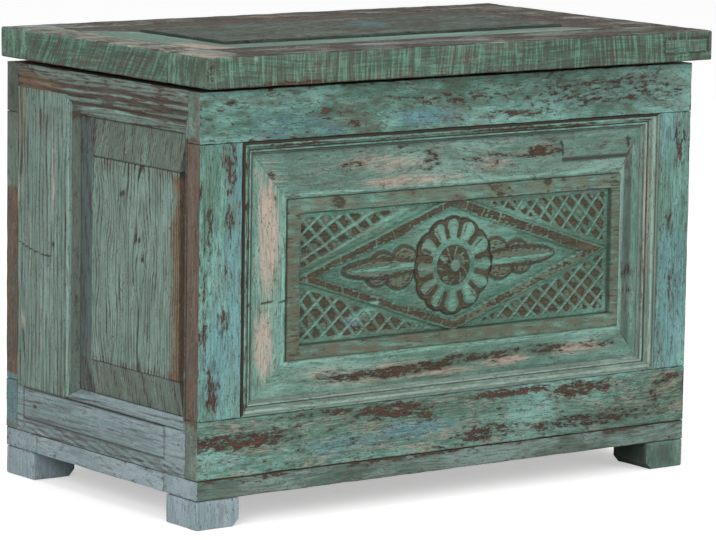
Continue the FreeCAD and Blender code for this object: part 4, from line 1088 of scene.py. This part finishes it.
def fielded(u, v):
    """Depth of a raised panel: bevels fall from the field to the frame, and coarse grain stands on the
    field in nested hyperbolas, the distance from an axis that dips slowly under the face."""
    out = np.maximum(np.maximum((u - field_rect[2]) / bevel_rear, (v - field_rect[3]) / bevel_top),
                     (field_rect[1] - v) / bevel_bottom)
    bevel = np.clip(out, 0, 1)
    on_field = 1 - smooth(out * 40, -0.5, 0.9)
    lowest = field_depth + field_step
    deep = lowest + (mould_depth - lowest) * bevel - field_step * on_field
    flat = np.stack([u, v], axis=-1)
    wobble = ripple(flat, (40, 160), 111)
    rings = np.hypot(u - 126 + 3 * wobble, 0.11 * np.maximum(np.abs(v - 300) - 10, 0) + 4)
    rings = np.where(v > 300, rings, np.hypot(u - 126 + 3 * wobble, 0.07 * (300 - v) + 4))
    for knot_u, knot_v in knots_at[:1] + knots_at[2:]:
        near = np.exp(-(((u - knot_u) / 9) ** 2 + ((v - knot_v) / 22) ** 2))
        rings = rings + 7 * near * np.sign(u - knot_u) * np.clip(np.abs(u - knot_u) / 4, 0, 1)
    groove = smooth(np.sin(2 * np.pi * (rings / 5.2 + 0.2 * wobble)), 0.0, 0.95)
    groove *= np.clip(0.65 + 0.5 * ripple(flat, (14, 120), 112), 0.15, 1)
    saw = smooth(np.sin(2 * np.pi * (u + 0.12 * v) / 4.2), 0.4, 1.0) * (out > 0.02) * (v > field_rect[3])
    groove = groove * on_field
    deep = deep + 0.55 * groove + 0.2 * saw + 0.15 * (1 + wobble)
    knots = np.zeros_like(u)
    for knot_u, knot_v in knots_at:
        knots = np.maximum(knots, 1 - smooth(np.hypot(u - knot_u, (v - knot_v) / 1.3), 1.6, 3.4))
    deep = deep + 0.8 * knots
    # The field's front edge was planed bare in a wavy strip
    strip_edge = 60 + 5 * ripple(v[..., None], 110, 113) + 3 * wobble - 0.03 * (v - 300)
    planed = (1 - smooth(u, strip_edge - 12, strip_edge + 8)) * (1 - smooth(v, 408, 424))
    planed = planed * smooth(v, field_rect[1] - 4, field_rect[1] + 4)
    # Its top and bottom are worn barer, and the bevels are streaked and dirty, with painted shade on the
    # rear and bottom bevels, which turn from the light
    worn_ends = np.maximum(smooth(v, 395, 424), 1 - smooth(v, field_rect[1] + 1, field_rect[1] + 14))
    bare = 0.06 + 0.5 * groove + 0.45 * planed + 0.3 * worn_ends * on_field + 0.25 * saw
    streaks = smooth(ripple(flat, (3.2, 70), 114), 0.0, 0.8)
    bevel_dirt_and_shade = 0.2 + 0.1 * (u > field_rect[2]) + 0.08 * (v < field_rect[1])
    bare = bare + (out > 0) * (bevel_dirt_and_shade + 0.3 * streaks)
    on_bevel = u > field_rect[2] + 3
    # The rear bevel is painted darker: painted shade
    dark = 0.8 * bump_at(out * 40, 0.2, 0.8) * ~on_bevel + 0.4 * on_bevel
    dark = np.maximum(dark, 0.9 * knots)
    dark = np.maximum(dark, 0.9 * bump_at(from_rim(u, v, side_rect), 0, 1.4) * (u > side_rect[0] + 3))
    rub = 0.35 * (1 - groove) * on_field + 0.3 * bump_at(out * 40, -1.5, 1.2)
    worn_edge = bump_at(u, 37 + 0.03 * (v - 173), 3.0) * (1 - smooth(v, 215, 235)) * on_field
    rub = np.maximum(rub, worn_edge)
    bare = bare * (1 - 0.8 * worn_edge)
    planed = planed * (1 - worn_edge)
    return deep, {"bare": bare, "dark": dark, "rub": rub, "planed": planed, "groove": groove}


def panel_coat(shell):
    """Layers of a side panel as its shape worked them out."""
    hidden = shell["hidden"]
    bare = np.where(hidden, 1.0, shell["bare"])
    grime = np.where(hidden, 0.0, shell["dark"] + 0.6 * shell["groove"])
    rub = np.where(hidden, 0.0, shell["rub"])
    blue = 0.1 + 0.6 * (shell["u"] > field_rect[2] + 2)
    ochre = np.where(hidden, 0.0, 0.64 * shell["planed"])
    return layers_of(shell, 2, 115, bare, 0.0, blue, grime, rub, ochre)


# Lines of the grid on each side of the steps between field and bevels
step_lines = np.array([-0.6, 0.0, 0.6, 1.2])
for side in ("left", "right"):
    shell = relief(side_rect, fielded, panel_back, side_place(side), 1.5,
                   extra_u=field_rect[2] + step_lines,
                   extra_v=np.concatenate([field_rect[1] - step_lines, field_rect[3] + step_lines]))
    finish_piece(side + "_side_raised_panel", [shell], panel_coat, [side_paint], side + "_side_panel")

# Back
# A plain frame of the same old wood round one wide board. It stood against a wall, so it has
# only a thin wash of paint.

back_paint = aged_paint("thin_wash_on_back", "#5A6156", "#666E62", "#737D71", wood="#685B4C",
                        ragged=0.5, fade=0.5, under="#4A4137", blotch="#67543F")


def back_coat_along(along, seed):
    """Thin paint, with the edge strips of the sides green above, brown below and blue near the floor."""
    def coat(shell):
        points, edge, normals = shell["points"], shell["edge"], shell["normals"]
        x, y, z = np.moveaxis(points, -1, 0)
        bare = 0.26 + 0.1 * ripple(points, (300, 300, 200), seed) + 0.2 * edge
        on_side = on_end(x, normals)
        brown = (z < 368) & (z > 128)
        bare = np.where(on_side, np.where(brown, 0.62, 0.25), bare)
        bare = np.where((y < 409) & ~on_side, 1.0, bare)
        blue = np.where(on_side & (z < 130) & (z > 72), 1.0, 0.1)
        grime = 0.5 * edge ** 4 * ((x > 5) & (x < chest_width - 5)) + 0.3 * plinth_joint(z)
        grime = np.maximum(grime, 0.45 * on_side * smooth(z, 430, 470))
        for knot_z in (488, 503):
            knot = 1 - smooth(np.hypot(y - 414, (z - knot_z) / 1.6), 2.5, 6)
            grime = np.maximum(grime, 0.7 * knot * on_side)
        red = 0.7 * on_side * brown * red_streaks(y, z, 126)
        return layers_of(shell, along, seed, bare, 0.0, blue, grime, 0.15, red)
    return coat


for word, along in (("top_rail", 0), ("bottom_rail", 0), ("left_stile", 2), ("right_stile", 2),
                    ("panel", 0)):
    low, high = corners_of("back_" + word)
    finish_piece("back_%s_board" % word, [board(low, high, along, radius=0.5, step=5.0, seed=121 + along)],
                 back_coat_along(along, 123 + len(word)), [back_paint, end_paint], "back_" + word,
                 choose=end_face)

# Lid frame
# Two full-width rails and two end boards, 38 mm thick. Their edges keep the marks of the saw
# under green paint; the top is worn to a grey-mauve brown with a little turquoise left.

top_paint = aged_paint("weathered_lid_top", "#474A44", "#666662", "#8A9090", wood="#584C46", ragged=0.8,
                       fade=0.6, gloss=0.8, under="#37302A", blotch="#634F4A", shine=0.12)


def sawn_paint(name, pitch, slant):
    """Green paint over saw marks: bars across the edge, a few mm apart, crossed by longer streaks along the
    grain. Ridges keep bright paint, and the scratches between them are olive brown."""
    material = aged_paint(name, "#3A5044", "#4A6657", "#5F8170", ragged=0.4, fade=0.4)
    tree = material.node_tree
    surface = tree.nodes["Principled BSDF"]
    colour = surface.inputs["Base Color"].links[0].from_socket
    grain = node(tree, "Attribute", {}, "Vector", attribute_name="grain")
    marks = []
    for turn, scale, share in ((slant, (1 / pitch, 0.02, 0.02), 0.66), (0.0, (0.012, 0.36, 0.36), 0.34)):
        turned = node(tree, "Mapping", {0: grain, "Rotation": (0.0, 0.0, turn)})
        stretched = node(tree, "Mapping", {0: turned, "Scale": scale})
        marks.append((node(tree, "TexNoise", {"Vector": stretched, "Scale": 1.0, "Detail": 3.0,
                                              "Roughness": 0.65}), share))
    bars = summed(tree, 0.0, marks)
    colour = coated(tree, colour, ((bars, 0.515, 0.575, 0.7, "#443C32"),
                                   (bars, 0.48, 0.42, 0.45, "#6B9E85")))
    tree.links.new(colour, surface.inputs["Base Color"])
    return material


edge_paint = sawn_paint("sawn_lid_edge", 2.8, 0.0)
slant_paint = sawn_paint("slanting_saw_marks", 2.6, -0.6)
lid_low, front_rail_high = corners_of("lid_front_rail")
rear_rail_low, lid_high = corners_of("lid_rear_rail")
rail_back, rear_front = front_rail_high[1], rear_rail_low[1]
# The right end board's tenon, which runs through the front rail
tenon_low = np.array([lid_high[0] - 78.0, lid_low[1], lid_low[2] + 12.0])
tenon_size = np.array([68.0, rail_back - lid_low[1], 16.0])


def lid_coat_along(along, seed):
    """Worn brown top, green edges with grime above and bare wood below, plain underside."""
    def coat(shell):
        points, edge, normals = shell["points"], shell["edge"], shell["normals"]
        x, y, z = np.moveaxis(points, -1, 0)
        up = normals[..., 2] > 0.6
        under = normals[..., 2] < -0.6
        bare = np.where(up, 0.48 + 0.3 * ripple(points, (110, 60, 60), seed) - 0.3 * (x < 52), 0.12)
        bare = np.where(under, 0.9, bare) + 0.15 * edge
        side = ~up & ~under
        bare = bare + side * 0.4 * np.exp(-(z - lid_low[2]) / 3.0)
        bare = bare + side * spots(x, z, [(2, 545, 8, 14, 0.35), (120, 532, 60, 4, 0.3)]) * (y < -10)
        pink = np.where(up, 0.4 + 0.3 * ripple(points, (60, 30, 60), seed + 5) + 0.3 * (x < 52), 0.0)
        nail = spots(x, z, [(62, lid_high[2] - 1, 4, 4, 1.0)]) * (y < lid_low[1] + 4)
        inner = (x > lid_low[0] + 6) & (x < lid_high[0] - 6) & (y > lid_low[1] + 6) & (y < lid_high[1] - 6)
        grime = 0.3 * edge ** 4 * inner + 0.4 * side * np.exp(-(lid_high[2] - z) / 2.0)
        grime = grime + 0.34 * side * smooth(x, 250, 600) * (y < 0)
        # The front of the through tenon shows as a brighter block with a dark joint round it
        half = tenon_size / 2
        middle = tenon_low + half
        from_joint = np.maximum(np.abs(x - middle[0]) - half[0], np.abs(z - middle[2]) - half[2])
        facing = side & (y < lid_low[1] + 4)
        grime = np.maximum(grime, facing * bump_at(from_joint, 1.4, 2.0))
        bare = bare - 0.2 * facing * (from_joint < 0) - 0.12 * facing * smooth(x, 450, 650)
        # The front rail's top is streaked with pale dust and dark wax
        streaks = ripple(points, (110, 7, 5), 22) * up * (y < rail_back)
        grime = np.maximum(grime, 0.45 * smooth(-streaks, 0.15, 0.8))
        rub = 0.2 * edge + 0.4 * up * (x < 52) + 0.2 * facing * (from_joint < 0) + 1.5 * nail
        rub = np.clip(rub + 0.6 * smooth(streaks, 0.2, 0.8), 0, 1)
        blue = 0.15 + np.where(up, spots(x, y, [(355, 20, 44, 16, 0.8), (262, 24, 40, 12, 0.5)]), 0.0)
        return layers_of(shell, shell.get("fibres", along), seed, bare, pink, blue, grime, rub)
    return coat


def top_or_edge(normals):
    """Slot 0 for the top and underside, 1 for the front edge and the ends, 2 for the left edge."""
    flat = np.abs(normals[:, 2]) > 0.7
    return np.where(flat, 0, np.where(normals[:, 0] < -0.7, 2, 1))


for word, along in (("front_rail", 0), ("rear_rail", 0), ("left_end", 1), ("right_end", 1)):
    low, high = corners_of("lid_" + word)
    if along == 1:
        low[1], high[1] = rail_back + 0.3, rear_front - 0.3
    shells = [board(low, high, along, radius=2.4, step=3.0, seed=131 + along)]
    if word == "right_end":
        shells.append(board(tenon_low, tenon_low + tenon_size, 1, radius=0.8, seed=139, sink=0.05))
        shells[1]["fibres"] = 0
    finish_piece("lid_%s_board" % word, shells, lid_coat_along(along, 133 + len(word)),
                 [top_paint, edge_paint, slant_paint], "lid_" + word, body="lid",
                 choose=top_or_edge)

# Lid filling
# Mitred boards fall slightly from the frame to a flat board that stands up again inside them,
# like the chest's front laid on its back. Green and pink paint has lasted on the falling boards.


def lid_place(u, v, deep):
    """Across the lid and back over it, with depth measured down from its top."""
    return np.stack([u, v, lid_high[2] - deep], axis=-1)


lid_outer = face_of("lid_slope_front", "lid_slope_rear", 1)
lid_rect = face_of("lid_panel", "lid_panel", 1)
lid_inner = lid_rect + 0.4 * grown
lid_slope_depth, lid_filling = 5.0, 28.0
slope_green = aged_paint("green_lid_slopes", "#4F5E56", "#657870", "#7A8E84", wood="#635A53", ragged=0.5,
                         fade=0.3, gloss=0.8, under="#4A4540", blotch="#6A5A56", shine=0.12)
flat_paint = aged_paint("dull_lid_board", "#3A3F3A", "#4E514B", "#68706A", wood="#5C4F4A", ragged=1.2,
                        fade=0.5, gloss=0.8, under="#3E3833", blotch="#5F504A", shine=0.12)
lid_section = np.stack([np.linspace(0, 1, 16), np.linspace(0, lid_slope_depth, 16)], axis=-1)


def filling_coat_along(along, seed):
    """Paler green and pink on the slopes, with grime at the joints; the dark band along the inner edge is
    partly joint grime and partly painted shade at the foot of the raised board.
    """
    def coat(shell):
        points, edge = shell["points"], shell["edge"]
        x, y = points[..., 0], points[..., 1]
        bare = 0.14 + 0.16 * ripple(points, (90, 50, 50), seed) + 0.6 * ((x > 660) | (y > 335))
        bare = np.where(shell["hidden"], 1.0, bare)
        pink = 0.2 + spots(x, y, [(78, 105, 26, 60, 1.0), (600, 100, 60, 20, 0.4)])
        grime = np.maximum(0.25 * edge ** 2, 0.5 * smooth(shell["share"], 0.95, 1.0))
        return layers_of(shell, along, seed, bare, pink, 0.25, grime, 0.35)
    return coat


for side, word, along in (("bottom", "front", 0), ("top", "rear", 0), ("low", "left", 1),
                          ("high", "right", 1)):
    shell = strip(side, lid_outer, lid_inner, lid_section, lid_filling, lid_place, step=5.0, seed=141)
    finish_piece("lid_%s_slope" % word, [shell], filling_coat_along(along, 143), [slope_green],
                 "lid_slope_" + word, body="lid")


def raised_board(u, v):
    """Depth of the lid's flat board: slow hollows of wear, and a worn arris all round."""
    wear = ripple(np.stack([u, v], axis=-1), (120, 50), 151)
    border = from_rim(u, v, lid_rect)
    deep = 0.6 + 0.2 * (1 + wear) + 1.2 * bump_at(border, 0, 1.5)
    return deep, {"wear": wear, "dark": 0.45 * bump_at(border, 0, 2.2)}


def raised_coat(shell):
    """Brown mottled wood with spots of turquoise, and dark green down its edges: painted shade where it
    stands up from the slopes.
    """
    bare = np.where(shell["dark"] > 0.2, 0.1, 0.4 + 0.14 * shell["wear"])
    bare = np.where(shell["hidden"], 1.0, bare)
    blue = 0.3 + spots(shell["u"], shell["v"], [(430, 260, 30, 40, 0.6), (300, 300, 50, 20, 0.4),
                                                (600, 200, 60, 20, 0.3)])
    return layers_of(shell, 0, 153, bare, 0.1, blue, np.where(shell["hidden"], 0.5, shell["dark"]), 0.2)


finish_piece("lid_flat_board", [relief(lid_rect, raised_board, lid_filling, lid_place, 4.0,
                                       extra_u=(lid_rect[0] + 1.5, lid_rect[2] - 1.5),
                                       extra_v=(lid_rect[1] + 1.5, lid_rect[3] - 1.5))],
             raised_coat, [flat_paint], "lid_panel", body="lid")

# Hinges and screws
# Two iron butt hinges, forged flat and gone brown with rust, and plain steel screws. They
# keep their CAD shapes.


def worn_metal(name, dark, light, rust, roughness):
    """Old metal: a dark skin with rubbed bright places and rust in blotches of about 3 mm."""
    material = bpy.data.materials.new(name)
    tree = cleared(material)
    place = node(tree, "TexCoord", {}, "Object")
    blotch = node(tree, "TexNoise", {"Vector": place, "Scale": 300.0, "Detail": 5.0, "Roughness": 0.6})
    pits = node(tree, "TexNoise", {"Vector": place, "Scale": 1500.0, "Detail": 2.0})
    skin = node(tree, "Mix", {0: pits, 6: dark, 7: light}, 2, data_type="RGBA")
    rusted = node(tree, "MapRange", {0: blotch, 1: 0.46, 2: 0.6}, interpolation_type="SMOOTHSTEP")
    colour = node(tree, "Mix", {0: rusted, 6: skin, 7: rust}, 2, data_type="RGBA")
    metal = node(tree, "MapRange", {0: rusted, 3: 1.0, 4: 0.15})
    rough = node(tree, "MapRange", {0: rusted, 3: roughness, 4: 0.85})
    bump = node(tree, "Bump", {"Height": blotch, "Strength": 0.5, "Distance": 0.0003})
    surface = node(tree, "BsdfPrincipled", {"Base Color": colour, "Metallic": metal, "Roughness": rough,
                                            "Normal": bump})
    node(tree, "OutputMaterial", {"Surface": surface})
    return material


hinge_iron = worn_metal("rusted_hinge_iron", "#3A3835", "#5B5752", "#5A3524", 0.5)
screw_steel = worn_metal("dull_screw_steel", "#6B6A66", "#8C8A85", "#5E4433", 0.4)
for cad_node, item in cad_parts.items():
    if cad_node.startswith("hinge_"):
        metal = screw_steel if "screws" in cad_node else hinge_iron
        if not item.data.materials:
            item.data.materials.append(metal)
        for slot in item.material_slots:
            slot.material = metal

# Studio
# A pale floor that looks white to the camera and keeps the chest's shadow, soft lamps from
# the front left and above, and a camera at the photograph's angle.

floor_mesh = bpy.data.meshes.new("studio_floor")
reach = 12.0
floor_mesh.from_pydata([(-reach, -reach, 0), (reach, -reach, 0), (reach, reach, 0), (-reach, reach, 0)], [],
                       [(0, 1, 2, 3)])
studio_floor = bpy.data.objects.new("studio_floor", floor_mesh)
bpy.context.scene.collection.objects.link(studio_floor)
floor_white = bpy.data.materials.new("pale_studio_floor")
tree = cleared(floor_white)
diffuse = node(tree, "BsdfDiffuse", {"Color": "#F4F4F4"})
by_camera = node(tree, "LightPath", {}, "Is Camera Ray")
lift = node(tree, "Math", {0: by_camera, 1: 0.45}, operation="MULTIPLY")
glow = node(tree, "Emission", {"Color": "#FFFFFF", "Strength": lift})
node(tree, "OutputMaterial", {"Surface": node(tree, "AddShader", {0: diffuse, 1: glow})})
floor_mesh.materials.append(floor_white)

world = bpy.data.worlds.new("studio")
bpy.context.scene.world = world
tree = cleared(world)
by_camera, by_gloss = (node(tree, "LightPath", {}, key) for key in ("Is Camera Ray", "Is Glossy Ray"))
seen = node(tree, "Math", {0: by_camera, 1: by_gloss}, operation="MAXIMUM")
soft, white = (node(tree, "Background", {"Color": "#FFFFFF", "Strength": light}) for light in (0.55, 1.0))
node(tree, "OutputWorld", {"Surface": node(tree, "MixShader", {0: seen, 1: soft, 2: white})})


def lamp(name, place, size, power):
    """A square soft lamp that faces the chest's middle."""
    light = bpy.data.lights.new(name, "AREA")
    light.size = size
    light.energy = power
    item = bpy.data.objects.new(name, light)
    bpy.context.scene.collection.objects.link(item)
    item.location = place
    across, back, up = np.array([0.0, 0.0, 0.3]) - place
    yaw = math.atan2(back, across) - math.pi / 2
    pitch = math.atan2(up, math.hypot(across, back)) + math.pi / 2
    item.rotation_euler = (pitch, 0.0, yaw)


lamp("left_softbox", (-3.5, -2.6, 2.2), 2.2, 90.0)
lamp("front_fill", (1.6, -4.0, 1.6), 2.4, 50.0)
lamp("overhead", (0.0, 0.3, 3.4), 2.6, 25.0)

camera = bpy.data.cameras.new("camera")
camera.sensor_width = 36.0
camera.lens = 207.53
camera.clip_end = 60.0
eye = bpy.data.objects.new("camera", camera)
bpy.context.scene.collection.objects.link(eye)
# Viewing direction, direction to the right and place, fitted to the chest's edges in the photograph
look = np.array([0.59085, 0.79324, -0.14723])
right = np.array([0.80321, -0.59550, 0.01498])
eye_place = [-3.0949, -4.1640, 1.0298]
turned = np.eye(4)
turned[:3] = np.stack([right, np.cross(right, look), -look, eye_place], axis=1)
eye.matrix_world = Matrix(turned.tolist())
bpy.context.scene.camera = eye
bpy.context.scene.view_settings.view_transform = "Standard"
